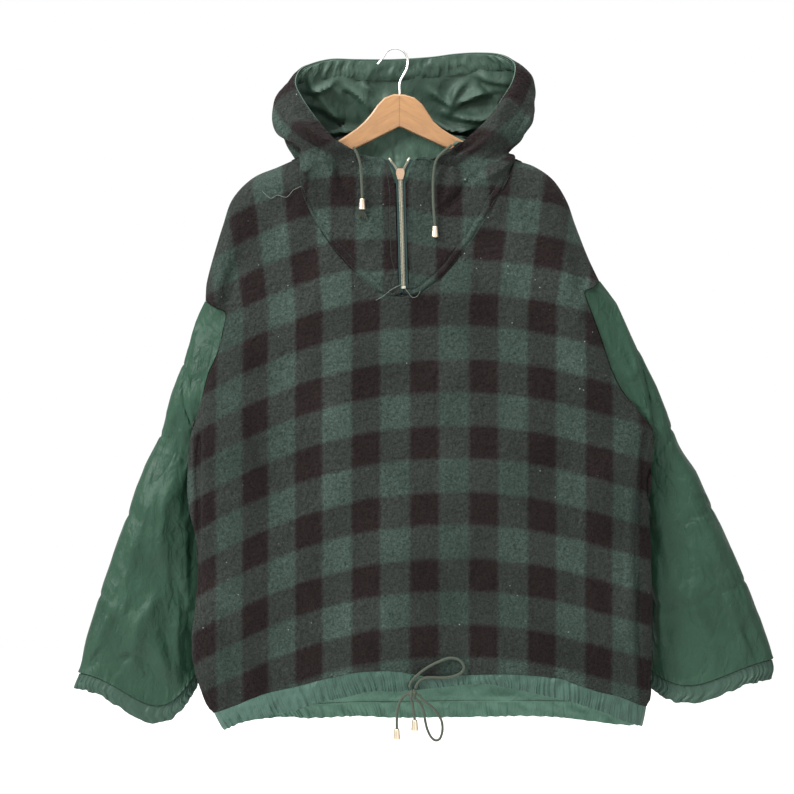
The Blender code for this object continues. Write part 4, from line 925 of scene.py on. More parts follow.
def beech():
    made, tree = new_finish("varnished_beech", 0.38, Coat_Weight=0.25, Coat_Roughness=0.25)
    split = parts_of(tree, on_object(tree))
    out = calc(tree, "ABSOLUTE", calc(tree, "SUBTRACT", split[0], HANGER_JOINT))
    with_arm = calc(tree, "SUBTRACT", calc(tree, "MULTIPLY", out, ARM_COS),
                    calc(tree, "MULTIPLY", split[2], ARM_SIN))
    over_arm = calc(tree, "ADD", calc(tree, "MULTIPLY", out, ARM_SIN),
                    calc(tree, "MULTIPLY", split[2], ARM_COS))
    grain = add(tree, "CombineXYZ", {0: with_arm, 1: split[1], 2: over_arm}).outputs[0]
    rings = noise(tree, stretched(tree, grain, (1.0, 6.0, 8.0)), 9.0, 6.0, 1.6, 0.55)
    wood = mixed(tree, ranged(tree, rings, 0.32, 0.68, 0, 1), (0.235, 0.122, 0.046, 1),
                 (0.17, 0.082, 0.030, 1))
    flecks = noise(tree, stretched(tree, grain, (1.0, 9.0, 12.0)), 120.0, 2.0)
    wood = mixed(tree, ranged(tree, flecks, 0.58, 0.72, 0, 0.55), wood, (0.10, 0.045, 0.018, 1))
    wood = mixed(tree, ranged(tree, out, 0.0, 0.0009, 0.75, 0), wood, (0.07, 0.030, 0.013, 1))
    return finished(made, Base_Color=wood, Roughness=ranged(tree, rings, 0.3, 0.7, 0.32, 0.46),
                    Normal=bumped(tree, flecks, 0.12, 0.0006))


def metal(name, colour, roughness, wear=0.5):
    made, tree = new_finish(name, roughness, Metallic=1.0)
    scratches = noise(tree, on_object(tree, (1, 1, 3)), 700.0, 4.0)
    worn = ranged(tree, scratches, 0.35, 0.75, 0, wear)
    return finished(made, Base_Color=mixed(tree, worn, colour, darker(colour, 0.62)),
                    Roughness=ranged(tree, scratches, 0.3, 0.7, roughness - 0.08, roughness + 0.14),
                    Normal=bumped(tree, scratches, 0.08, 0.0004))


def braid(name, colour, groove_shade, turns=6.0, pitch=3.4):
    """Two sets of diagonal ridges round a cord, with painted shade in the grooves between them; UV counts
    turns round and millimetres along.
    """
    made, tree = new_finish(name, 0.82, Sheen_Weight=0.04, Specular_IOR_Level=0.2)
    split = parts_of(tree, on_weave(tree))
    round_it = calc(tree, "MULTIPLY", split[0], 2 * math.pi * turns)
    along_it = calc(tree, "MULTIPLY", split[1], 2 * math.pi / pitch)
    one = calc(tree, "SINE", calc(tree, "ADD", round_it, along_it))
    two = calc(tree, "SINE", calc(tree, "SUBTRACT", round_it, along_it))
    height = calc(tree, "MAXIMUM", one, two)
    # painted shade: the grooves between the strands are coloured darker than the strands
    cloth = mixed(tree, ranged(tree, height, -0.4, 0.9, 0, 1), groove_shade, colour)
    fibres = noise(tree, on_object(tree), 2400.0, 2.0)
    return finished(made, Base_Color=shaded(tree, cloth, ranged(tree, fibres, 0.3, 0.7, 0.75, 1.2)),
                    Normal=bumped(tree, height, 0.7, 0.0006))


def ribbed(name, colour, groove_shade, pitch=1.1):
    """Ribs across a tape: one sine wave along its length, in its UV map's millimetres, with painted shade in
    the troughs between ribs.
    """
    made, tree = new_finish(name, 0.8, Specular_IOR_Level=0.2)
    down = parts_of(tree, on_weave(tree))[1]
    rib = calc(tree, "SINE", calc(tree, "MULTIPLY", down, 2 * math.pi / pitch))
    # painted shade: the troughs between the ribs take the darker colour
    return finished(made, Base_Color=mixed(tree, ranged(tree, rib, -1, 1, 0, 1), groove_shade, colour),
                    Normal=bumped(tree, rib, 0.5, 0.0004))


def thread(name, colour):
    made, tree = new_finish(name, 0.7, Specular_IOR_Level=0.2)
    twist = noise(tree, on_object(tree), 3000.0, 2.0)
    return finished(made, Base_Color=mixed(tree, twist, darker(colour, 0.6), colour))


FLEECE_CLOTH = checked_fleece()
SLEEVE_NYLON = nylon("sleeve_nylon", (0.0075, 0.0250, 0.0140, 1),
                     (0.0108, 0.0325, 0.0190, 1), 0.5, 0.9)
CASING_NYLON = nylon("casing_nylon", (0.022, 0.047, 0.036, 1),
                     (0.031, 0.063, 0.049, 1), 0.46, 1.0)
HEM_NYLON = nylon("hem_nylon", (0.053, 0.115, 0.082, 1),
                  (0.070, 0.143, 0.105, 1), 0.45, 0.7)
CUFF_NYLON = nylon("cuff_nylon", (0.0175, 0.038, 0.027, 1),
                   (0.023, 0.047, 0.035, 1), 0.45, 0.7)
HOOD_NYLON = nylon("hood_nylon", (0.0170, 0.0350, 0.0245, 1),
                   (0.0245, 0.0455, 0.0320, 1), 0.48, 0.6)
# the hood lining's nylon painted brighter: painted light on the neck lining, which lies in shade
NECK_NYLON_PAINTED_LIGHT = nylon("neck_nylon_painted_light", (0.031, 0.060, 0.042, 1),
                   (0.042, 0.078, 0.056, 1), 0.48, 0.8)
BEECH = beech()
HOOK_STEEL = metal("hook_steel", (0.56, 0.56, 0.54, 1), 0.25)
SLIDER_COPPER = metal("slider_copper", (0.55, 0.38, 0.26, 1), 0.32)
TEETH_SILVER = metal("teeth_silver", (0.34, 0.32, 0.25, 1), 0.38, 0.25)
CORD_END_METAL = metal("cord_end_metal", (0.60, 0.51, 0.38, 1), 0.3)
# a near-black finish for the painted shade inside the cord ends
HOLE_PAINTED_SHADE = metal("hole_painted_shade", (0.05, 0.05, 0.045, 1), 0.7)
# the second colour is painted shade for the braid's grooves
CORD_BRAID = braid("cord_braid", (0.052, 0.062, 0.044, 1), (0.018, 0.023, 0.016, 1))
# the second colour is painted shade for the tape's rib troughs
ZIP_TAPE = ribbed("zip_tape", (0.014, 0.036, 0.033, 1), (0.006, 0.014, 0.014, 1))
GREEN_THREAD = thread("green_thread", (0.016, 0.030, 0.024, 1))
DARK_THREAD = thread("dark_thread", (0.010, 0.015, 0.013, 1))
PALE_THREAD = thread("pale_thread", (0.13, 0.165, 0.14, 1))
PIPING = thread("pale_piping", (0.060, 0.100, 0.078, 1))

# %% [markdown]
# ## Cords
# The drawcords are the first pieces made, because their lengths are facts. Each is a round braid on
# its solid's route, with its free end in a small metal cone. The hem's cord is tied in a bow: two
# loops, two ends and a knot. There is no coil, and every end shows.

# %% Cords
HEM_LIFT = 0.5 * CORD + HEM_GATHER_RISE + 1.6      # how far the bow stands off the torso
KNOT = (27, -870)
CONE = [(0.0, 1.9), (0.0, 3.0), (0.35, 3.45), (1.0, 3.6), (6.0, 4.2), (11.5, 4.75), (13.2, 4.95),
        (14.0, 5.0), (14.4, 4.8), (14.5, 4.2), (13.4, 3.9)]     # (drop, radius) of a cord end
# the dark plug of painted shade inside a cord end: (drop, radius)
CONE_SHADE_PLUG = [(0.3, 2.4), (5, 3.0), (13.2, 3.9)]
CONE_AROUND, CONE_WALL = 40, 0.12                  # the wall as a share of the radius


def route_of(table, per_step=1.4):
    """Points about per_step millimetres apart on the smooth curve through a route's table."""
    table = np.array(table, float)
    if table.shape[1] == 2:
        table = on_torso("front", table, HEM_LIFT)
    length = np.linalg.norm(np.diff(table, axis=0), axis=1).sum()
    return evenly(table, max(12, int(length / per_step)))


def cord_end(name, foot, replaced):
    """A metal cone turned about its axis: radius by drop, with a dark plug inside it as painted shade where
    the cord goes in.
    """
    angle = 2 * np.pi * np.arange(CONE_AROUND) / CONE_AROUND
    rings = [[foot[0] + r * np.cos(angle), foot[1] + r * np.sin(angle),
              np.full(CONE_AROUND, foot[2] - SEAM_GAP - d)] for d, r in CONE]
    outer = np.array(rings).transpose(0, 2, 1)
    inner = outer.copy()
    inner[..., :2] += (np.array(foot[:2]) - inner[..., :2]) * CONE_WALL
    uv = np.zeros((len(CONE), CONE_AROUND + 1, 2))
    made = shell(name, outer, inner, uv, CORD_END_METAL, closed=True)
    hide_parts(replaced)
    # painted shade: a dark plug fills the inside of the cone
    shade_plug = tube(name + "_shade_plug", [(foot[0], foot[1], foot[2] - SEAM_GAP - d) for d, _ in CONE_SHADE_PLUG],
                [r for _, r in CONE_SHADE_PLUG], HOLE_PAINTED_SHADE, 16)
    return [made, shade_plug]


def free_cord(name, table):
    path = route_of(table)
    swell = 1 + 0.03 * np.sin(np.arange(len(path)) * 0.9)
    made = tube(name + "_braid", path, 0.5 * CORD * swell, CORD_BRAID, 14)
    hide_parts(name)


for cord_name, cord_route in CORD_ROUTES.items():
    if "loop" in cord_name:
        free_cord(cord_name, cord_route)
    else:
        cone = cord_end(cord_name + "_cone", route_of(cord_route)[-1], cord_name + "_end")
        free_cord(cord_name, cord_route)


def bow_knot():
    """The knot: one turn of cord round the crossing, and a second, tighter one beside it."""
    y = float(on_torso("front", [KNOT])[0, 1]) - HEM_LIFT
    turn = np.linspace(-0.3, 2 * np.pi + 0.5, 60)
    for name, (x, z), tilt, wide in (("front_turn", (25.3, -870.6), 0.35, 4.4),
                                     ("back_turn", (29.2, -869.4), -0.25, 4.0)):
        ring = np.stack([x + 1.4 * np.sin(turn) * tilt + 0.5 * turn / np.pi,
                         y + 2.9 * np.cos(turn), z + wide * np.sin(turn)], 1)
        tube("hem_knot_" + name, ring, 0.5 * CORD * 0.98, CORD_BRAID, 14)
    core = tube("hem_knot_core", [(21.5, y, -871.5), (25, y - 0.4, -870.5), (29, y - 0.4, -869.4),
                                  (33, y, -868)], [2.0, 3.3, 3.3, 2.0], CORD_BRAID, 16)
    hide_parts("hem_cord_knot")


bow_knot()

# %% [markdown]
# ## Where the checks lie
# The check was charted: the middle of each dark column along a level line of the front, and
# how far each row has dropped there. Between them both are smooth, so squares shear as the cloth hangs.

# %% Where the checks lie
CHECK_COLUMNS = (206, 256, 309, 366, 424, 483, 541, 598, 650)      # pixels, stripes 1 to 9
BEFORE_FIRST, AFTER_LAST = 50, 52                                  # pixels between stripes outside
ROW_DROP_AT = (150, 190, 206, 256, 309, 366, 424, 483, 541, 598, 640, 690)
ROW_DROP = (105, 79, 67, 42, 21, 6.5, 0.5, 0, 7, 21, 33, 48)       # pixels
FIRST_ROW, ROW_PITCH = 310, 65.8
FAN_ABOVE = 310          # columns fan out above this row, a few pixels for each row
BIB_FIRST_COLUMN, BIB_COLUMN_PITCH = 343, 53
BIB_FIRST_ROW, BIB_ROW_PITCH = 192, 63.5
REPEAT_ACROSS, REPEAT_DOWN = 80.0, 89.0                            # millimetres
BACK_MIDDLE = (392, 300)                                           # where two dark stripes cross


def soft_interp(at, known_at, known):
    """Interpolation with its corners rounded, as the mean of five readings side by side."""
    return sum(np.interp(at + shift, known_at, known) for shift in (-16, -8, 0, 8, 16)) / 5


def body_check(points, panel):
    """Stripe counts across and down at points of a body panel."""
    u, v = plane_to_pixel(points[..., 0], points[..., 2])
    if panel == "back":
        return np.stack([(u - BACK_MIDDLE[0]) / (REPEAT_ACROSS / PIXEL),
                         (v - BACK_MIDDLE[1]) / (REPEAT_DOWN / PIXEL)], -1)
    fan = 6.0 * (u - 395) / 100 * np.clip((FAN_ABOVE - v) / ROW_PITCH, 0, 4)
    at = u - fan
    known = np.array(CHECK_COLUMNS, float)
    stripe = soft_interp(at, known, np.arange(1, 10))
    stripe = np.where(at < known[0], 1 + (at - known[0]) / BEFORE_FIRST, stripe)
    stripe = np.where(at > known[-1], 9 + (at - known[-1]) / AFTER_LAST, stripe)
    row = (v - soft_interp(u, ROW_DROP_AT, ROW_DROP) - FIRST_ROW) / ROW_PITCH
    return np.stack([stripe, row], -1)


def bib_check(points):
    u, v = plane_to_pixel(points[..., 0], points[..., 2])
    drop = 10 * np.clip((u - 400) / 45, 0, 1) + 4 * np.clip((340 - u) / 40, 0, 2)
    return np.stack([(u - BIB_FIRST_COLUMN) / BIB_COLUMN_PITCH,
                     (v - drop - BIB_FIRST_ROW) / BIB_ROW_PITCH], -1)


# %% [markdown]
# ## Front and back
# Each panel's rows run round the neck and its columns run out to armholes, sides and hem, so the
# cloth hangs from the shoulders in the mesh as it does on the hanger.

# %% Front and back
ROWS_FINER, COLUMNS_FINER = 10, 5
FRONT_CREASES = [
    (226, 314, 243, 262, -4, 6, -3.6), (584, 294, 571, 258, 3, 6, -3.2), (240, 330, 222, 300, 2, 7, 2.2),
    (574, 330, 588, 292, -2, 7, 2.0), (201, 432, 199, 500, 2, 3.4, -5.6),
    (199, 495, 197, 560, -1, 3.4, -5.0), (646, 431, 639, 464, 1, 3.4, -6.0),
    (639, 462, 635, 516, 0, 3.4, -6.4), (635, 514, 635, 634, 0, 3.4, -6.4),
    (635, 630, 640, 690, 0, 3.4, -5.6), (209, 436, 206, 556, 2, 8, 3.0), (628, 470, 626, 640, 0, 8, 3.4),
    (232, 380, 262, 470, 8, 14, 2.4), (252, 400, 285, 520, 8, 12, -1.8), (560, 360, 612, 430, -7, 14, 2.2),
    (548, 400, 600, 520, -9, 12, -2.0), (536, 500, 602, 640, -8, 13, 2.6),
    (560, 520, 628, 668, -8, 10, -2.4), (300, 560, 352, 660, 6, 13, 2.0), (380, 600, 410, 655, 4, 7, 2.8),
    (391, 606, 421, 650, 4, 6, -2.6), (352, 622, 378, 664, 3, 6, 1.8), (466, 600, 478, 662, 3, 8, 1.8),
    (500, 618, 520, 668, 2, 7, -1.6), (322, 250, 300, 330, -6, 13, 1.8), (486, 252, 520, 330, 6, 13, 1.8),
    (262, 200, 300, 250, 4, 12, 2.0), (530, 190, 560, 250, 4, 12, 2.0), (330, 420, 340, 560, 5, 20, 1.6),
    (440, 340, 448, 520, -4, 22, 1.6), (240, 600, 262, 690, 6, 10, 2.2), (224, 610, 238, 688, 4, 8, -2.2),
    (600, 640, 640, 700, -3, 7, 2.2),
]
BACK_CREASES = [
    (250, 230, 225, 330, -5, 12, 3.0), (560, 225, 585, 330, 5, 12, 3.0), (300, 180, 250, 300, -6, 16, 2.2),
    (500, 180, 555, 300, 6, 16, 2.2), (330, 260, 300, 520, -8, 20, 2.6), (470, 260, 500, 520, 8, 20, 2.6),
    (395, 180, 392, 420, 3, 22, -2.0), (260, 430, 285, 640, 8, 13, -2.6),
    (560, 430, 530, 640, -8, 13, -2.6), (215, 480, 240, 660, 5, 10, 2.6), (620, 470, 596, 650, -5, 10, 2.6),
    (360, 540, 340, 690, 5, 11, 2.4), (440, 540, 462, 690, -5, 11, -2.2), (310, 560, 300, 690, 3, 9, -2.0),
]
PANEL_CREASES = {"front": FRONT_CREASES, "back": BACK_CREASES}


def side_rows(panel, side):
    """The panel's side edge from the top of the armhole to the hem, and the share of height."""
    armhole = ARMHOLE[panel][side]
    if panel == "front":
        top = join(evenly(SEAM_FRONT[side], SEAM_STEPS), evenly(armhole, ARMHOLE_STEPS))
    else:
        top = evenly(armhole, SEAM_STEPS + ARMHOLE_STEPS)
    return join(top, evenly(FLANK[side], SIDE_STEPS))


def panel_grid(panel):
    """The panel's (x, z) patch, made fine by smooth curves, at the torso's depth."""
    left, right = (flat(side_rows(panel, side)) for side in ("left", "right"))
    if panel == "front":
        bib = join(evenly(BIB_LEFT, U_STEPS), evenly(BIB_RIGHT, U_STEPS))
        at = np.linspace(0, 2 * U_STEPS, 2 * U_STEPS * BIB_FINER + 1)
        inner = read_at(at, np.arange(len(bib)), bib)
        hem = HEM_FRONT
    else:
        inner, hem = stepped(BACK_NECK, NECK_STEPS, NECK_FINER), HEM_BACK
    outer = join(left, evenly(hem, len(inner) - 1 - 2 * (len(left) - 1)), right[::-1])
    down = np.array(BODY_ROWS)
    ridges = [along(flat(RIDGE[side]), down) for side in ("left", "right")]
    grid = on_torso(panel, refine(patch(inner, outer, *ridges, down), ROWS_FINER, COLUMNS_FINER))
    grid[:, (0, -1), 1] = 0
    return grid


def edge_fade(grid, reach):
    """0 on the grid's edges, 1 beyond reach millimetres from them."""
    down, across = arc_lengths(grid, 0), arc_lengths(grid, 1)
    near = np.minimum.reduce([down, down[-1:] - down, across, across[:, -1:] - across])
    return np.clip(near / reach, 0, 1)


CUT_BODY = {"front": (0.70, 0.80), "back": (0.70, 0.84)}      # metres
PUCKER_BELOW = -760      # the hem's puckers only come where the cloth's edge is this low


def body_panel(panel):
    grid, sign = panel_grid(panel), OUT[panel]
    normal = facing(normals(grid), np.array((0, sign, 0)))
    to_hem = arc_lengths(grid, 0)[-1:] - arc_lengths(grid, 0)
    along_hem = np.linspace(0, 1, grid.shape[1])[None, :]
    low = np.clip((PUCKER_BELOW - grid[-1:, :, 2]) / 60, 0, 1)
    pucker = low * gathers(along_hem, 74, 3, 0.2) * np.exp(-to_hem / 15.0) * 2.0
    rise = 1.5 * creases(grid, PANEL_CREASES[panel]) + 1.6 * unevenness(grid, 170, 5 + sign)
    rise = (rise + 0.8 * unevenness(grid, 60, 9 + sign)) * edge_fade(grid, 14) + pucker
    made = shell(panel + "_fleece", lifted(grid, normal, rise), lifted(grid, normal, -FLEECE),
                 body_check(grid, panel), FLEECE_CLOTH)
    cloth(made, panel + "_body", "fleece", grid, CUT_BODY[panel], "hung", rests_on=["hanger_wood"])


body_panel("front")
body_panel("back")

# %% [markdown]
# ## Hood and bib
# The hood and the bib are one surface of sections, each a cubic curve from the rim or the zip to
# the outer seam that bellies out and turns under. The centre strip's seams split it in three. Along
# the bib's U the seam is felled: a low ridge with a stitched groove on each side of it.

# %% Hood and bib
BELLY_COLUMN = 25                      # mesh columns from the rim to the belly, and on to the seam
HOOD_HALF = np.interp(np.linspace(0, len(BELLY_SHARES) - 1, BELLY_COLUMN + 1),
                      np.arange(len(BELLY_SHARES)), BELLY_SHARES)
HOOD_ROWS_FINER = 8
CHEST_ROWS = (8, 29)                   # rows of the table at which the hood leaves the chest
FELL_NEAR, FELL_FAR = 2.6, 11.5        # the seam's two grooves, from its edge
ZIP_GROOVE = 9.0                       # the stitched groove beside the zip
HOOD_CREASES = [
    (284, 128, 330, 150, 8, 5, -4.0), (292, 118, 345, 150, 7, 7, 4.0), (278, 100, 312, 140, 5, 7, 3.0),
    (289, 66, 296, 112, -3, 7, 2.4), (300, 140, 330, 158, 3, 4, -2.6), (320, 152, 350, 196, 5, 7, 2.4),
    (336, 158, 352, 205, 4, 5, -2.2), (512, 70, 488, 126, -6, 8, 3.6), (528, 92, 500, 140, -6, 8, -3.0),
    (496, 130, 448, 160, -5, 6, 3.8), (510, 142, 456, 172, -6, 6, -3.6), (520, 146, 470, 182, -7, 7, 3.2),
    (452, 160, 446, 200, -3, 7, 2.2), (476, 168, 440, 210, -5, 6, -2.4), (535, 110, 520, 150, 3, 7, 2.6),
    (300, 165, 318, 205, 3, 7, 2.0), (372, 215, 352, 262, -4, 9, 1.4), (432, 215, 452, 262, 4, 9, 1.6),
]
HOOD_BACK_CREASES = [
    (300, 80, 340, 150, 6, 9, 3.4), (330, 70, 350, 150, 4, 8, -3.0), (480, 70, 450, 150, -4, 9, 3.4),
    (510, 80, 470, 150, -6, 8, -3.0), (360, 120, 440, 122, 4, 8, -2.6), (390, 90, 386, 150, 2, 9, 2.4),
]


def seam_line():
    """The hood's outer seam: up the bib's left half, round the back neck, down its right half.

    It runs on the straight edges of the body panels' own mesh, a gap clear of them.
    """
    left = on_torso("front", evenly(BIB_LEFT, U_STEPS))[::-1]
    right = on_torso("front", evenly(BIB_RIGHT, U_STEPS)[::-1])
    neck = on_torso("back", evenly(BACK_NECK, NECK_STEPS))
    share = np.linspace(0, NECK_STEPS, len(HOOD_ROWS) - 2 * U_STEPS)
    neck = read_at(share, np.arange(NECK_STEPS + 1), neck)
    for bib in (left, right):
        run = unit(np.gradient(bib[:, (0, 2)], axis=0))
        bib[:, 0] += SEAM_GAP * run[:, 1]
        bib[:, 2] -= SEAM_GAP * run[:, 0]
    neck[:, 1] += 3 * SEAM_GAP
    neck[:, 2] += 3 * SEAM_GAP
    for corner, inward in ((0, 1), (-1, -1)):
        neck[corner] = (neck[corner, 0] + 0.5 * inward, 0.0, neck[corner, 2])
        for step in range(4):
            neck[corner + step * inward, 2] += NECK_LIFT * (1 - 0.25 * step)
    left[-2, 2] += 0.5 * SEAM_GAP
    return np.vstack([left[:-1], neck, right[1:]])


def hood_sections():
    """The hood's and bib's outer face: one section for each row of its table.

    Each section is a cubic curve from the rim to the seam that turns round at the belly, read at
    steps that close up towards it; on the chest its depth is the torso's.
    """
    rows = np.array(HOOD_ROWS, float)
    column = {name: rows[:, k] for k, name in enumerate(HOOD_COLUMNS)}
    rim = np.stack([column["rim_x"], column["rim_y"], column["rim_z"]], 1)
    belly = np.stack([column["belly_x"], column["belly_y"], column["belly_z"]], 1)
    seam = seam_line()
    for point in (rim, belly):
        chest = torso_y("front", point[:, 0], point[:, 2])
        point[:, 1] = np.where(column["free"] < 0.2, chest, point[:, 1])
    halfway = 30                  # of the curve's points, where it is at the belly
    t = np.linspace(0, 1, 2 * halfway + 1)[None, :, None]
    middle = (8 * belly - rim - seam) / 6
    reach = unit(belly - 0.5 * (rim + seam))
    outwards = np.sum((rim - seam) * reach, axis=1, keepdims=True) * reach
    spread = HOOD_FULLNESS * (rim - seam - outwards) - 0.5 * outwards
    first, second = (middle + spread)[:, None], (middle - spread)[:, None]
    dense = ((1 - t) ** 3 * rim[:, None] + 3 * t * (1 - t) ** 2 * first
             + 3 * t ** 2 * (1 - t) * second + t ** 3 * seam[:, None])
    chest = torso_y("front", dense[..., 0], dense[..., 2])
    free = column["free"][:, None] * (1 - t[..., 0] ** 6)
    on_chest = column["free"][:, None] < 1
    dense[..., 1] = np.where(on_chest, free * dense[..., 1] + (1 - free) * chest, dense[..., 1])
    length = arc_lengths(dense, 1)
    grid = np.empty((len(rows), 2 * len(HOOD_HALF) - 1, 3))
    even = np.linspace(0, 1, len(HOOD_HALF))
    for row in range(len(rows)):
        belly_at, whole = length[row, halfway], length[row, -1]
        near = even + np.clip(whole / 100 - 1, 0, 1) * (HOOD_HALF - even)
        wanted = np.concatenate([belly_at * near, whole - (whole - belly_at) * near[-2::-1]])
        grid[row] = read_at(wanted, length[row], dense[row])
    return grid


def felled(distance):
    """Height of a felled seam at a distance from its edge: a soft ridge between two narrow grooves."""
    ridge = 1.9 * bell(distance, 0.5 * (FELL_NEAR + FELL_FAR), 4.2)
    return ridge - 2.1 * bell(distance, FELL_NEAR, 1.2) - 1.9 * bell(distance, FELL_FAR, 1.3)


def fine_hood():
    """The whole hood's points and normals, how free each row is, and row numbers of the table."""
    grid = hood_sections()
    at = np.linspace(0, len(grid) - 1, (len(grid) - 1) * HOOD_ROWS_FINER + 1)
    free = np.array([row[-1] for row in HOOD_ROWS], float)
    grid = smooth_rows(grid, at)
    free = np.clip(smooth_rows(free[:, None], at)[:, 0], 0, 1)
    normal = normals(grid)
    if np.sum(normal[len(grid) // 2, :3, 1]) < 0:
        normal = -normal
    return grid, normal, free, at


def hood_check(grid, free, at):
    """The bib's own check, turning on the hood to lengths along the rim and out from it."""
    bib = bib_check(grid)
    far = distances(grid[:, BELLY_COLUMN])
    out = arc_lengths(grid, 1) / REPEAT_ACROSS
    left_start, right_start = (np.interp(row, at, far) for row in CHEST_ROWS)
    left = np.stack([0.25 - out, -0.55 - np.broadcast_to((far - left_start)[:, None], out.shape)
                     / REPEAT_DOWN], -1)
    right = np.stack([1.9 + out, -0.55 - np.broadcast_to((right_start - far)[:, None], out.shape)
                      / REPEAT_DOWN], -1)
    hood = np.where(at[:, None, None] < len(HOOD_LEFT), left, right)
    blend = (free ** 2 * (3 - 2 * free))[:, None, None]
    return bib * (1 - blend) + hood * blend


def hood_rise(grid, normal, free):
    ahead = np.clip(-1.6 * normal[..., 1] + 0.2, 0, 1)
    behind = np.clip(1.6 * normal[..., 1] + 0.2, 0, 1)
    rise = creases(grid, HOOD_CREASES) * ahead + creases(grid, HOOD_BACK_CREASES) * behind
    rise = 2.1 * rise + (0.5 + 1.6 * free[:, None]) * unevenness(grid, 80, 21)
    rise += (0.3 + 0.6 * free[:, None]) * unevenness(grid, 34, 22)
    rise *= edge_fade(grid, 12)
    from_rim = arc_lengths(grid, 1)
    to_seam = from_rim[:, -1:] - from_rim
    chest = 1 - free[:, None]
    rise += (chest + 0.6 * free[:, None]) * felled(to_seam)
    rise -= chest * 1.2 * bell(from_rim, ZIP_GROOVE, 1.3)
    return rise - (1 - chest) * 0.4 * bell(from_rim, CASING_WIDTH, 1.4)


CUT_HOOD = {"hood_left": (0.32, 0.50), "hood_centre": (0.14, 0.32), "hood_right": (0.31, 0.56)}
hood_points, hood_normals, hood_free, hood_at = fine_hood()
hood_uv = hood_check(hood_points, hood_free, hood_at)
hood_raised = lifted(hood_points, hood_normals, hood_rise(hood_points, hood_normals, hood_free))
STRIP_LINE = 0.45        # millimetres left open at each side of the strip's seams
ROW_LENGTH = 28          # about how far apart the table's rows lie round the hood


def hood_pieces():
    cuts = {"hood_left": (0, STRIP_FIRST), "hood_centre": (STRIP_FIRST, STRIP_LAST),
            "hood_right": (STRIP_LAST, len(HOOD_ROWS) - 1)}
    for name, (first, last) in cuts.items():
        rows = slice(first * HOOD_ROWS_FINER, last * HOOD_ROWS_FINER + 1)
        outer, normal = hood_raised[rows].copy(), hood_normals[rows]
        inner = lifted(hood_points[rows], normal, -FLEECE)
        for grid in (outer, inner):
            for end, inward in ((0, 1), (-1, -2)):
                step = grid[inward] - grid[end]
                far = np.linalg.norm(step, axis=1, keepdims=True)
                grid[end] += STRIP_LINE * step / np.maximum(far, 1e-6)
        sunk = np.minimum(np.arange(len(outer)), np.arange(len(outer))[::-1]) / HOOD_ROWS_FINER
        dip = 1.4 * bell(sunk * ROW_LENGTH, 0, 3.0)
        if name == "hood_left":                    # no dip at the foot of the zip
            dip[:HOOD_ROWS_FINER * 3] = 0
        if name == "hood_right":
            dip[-HOOD_ROWS_FINER * 3:] = 0
        outer -= dip[:, None, None] * normal
        made = shell(name + "_fleece", outer, inner, hood_uv[rows], FLEECE_CLOTH)
        cloth(made, name, "fleece", hood_points[rows], CUT_HOOD[name], "draped",
              rests_on=["hanger_wood"])


hood_pieces()

# %% [markdown]
# ## Hood lining and rim casing
# Inside, the hood is lined with nylon that has slumped into deep soft folds, and round the rim a
# casing holds the drawcord: its gathers are unequal, deepest in the middle and pinched at its seam.

# %% Hood lining and rim casing
LINING_CREASES = [
    (302, 84, 334, 74, 3, 5, 5.0), (330, 75, 362, 116, -6, 5, -5.0), (338, 80, 372, 112, -7, 6, 5.5),
    (304, 96, 346, 124, -6, 7, 5.0), (318, 121, 362, 119, -3, 5, -4.6), (320, 128, 372, 126, -3, 5, 4.6),
    (352, 72, 384, 90, -4, 4, -3.6), (380, 90, 424, 96, 3, 5, 3.4), (451, 101, 430, 82, 2, 5, 4.6),
    (451, 101, 424, 94, 2, 4, -4.0), (451, 101, 470, 72, -3, 6, 5.0), (452, 103, 500, 84, -4, 6, 5.6),
    (458, 99, 512, 97, -2, 4, -4.8), (452, 108, 506, 110, 3, 6, 5.0), (430, 112, 470, 124, 3, 5, 4.2),
    (424, 106, 452, 118, -2, 5, -3.6), (440, 124, 480, 118, 3, 5, 3.6), (304, 66, 330, 100, 4, 7, 3.4),
    (470, 64, 520, 76, 3, 6, 3.6), (480, 70, 505, 92, 3, 5, -3.4), (360, 66, 372, 86, 2, 5, 3.0),
    (396, 122, 399, 160, 1, 3, -2.6), (392, 126, 362, 146, 2, 4, 2.4), (402, 128, 436, 146, -2, 4, 2.4),
]
RIM_GATHER_COUNT, RIM_CRINKLE_COUNT = 36, 121
LINING_ROWS = slice(LINING_FIRST * HOOD_ROWS_FINER, LINING_LAST * HOOD_ROWS_FINER + 1)
LINING_DEPTH = FLEECE + 2 * SKIN_GAP               # under the hood's outer face


def hood_lining():
    face, normal = (refine(grid[LINING_ROWS, :BELLY_COLUMN + 1], 2, 3)
                    for grid in (hood_points, hood_normals))
    rise = 1.9 * creases(face, LINING_CREASES) + 2.4 * unevenness(face, 70, 31)
    rise += 1.1 * unevenness(face, 26, 32)
    rise = np.maximum(rise + 2.2, -0.2) * edge_fade(face, 10)
    outer = lifted(face, normal, -LINING_DEPTH)
    made = shell("hood_lining_nylon", outer, lifted(outer, normal, -LINING - rise), cloth_map(face),
                 HOOD_NYLON)
    cloth(made, "hood_lining", "nylon", outer, (0.20, 0.70), "draped", rests_on=["hanger_wood"])


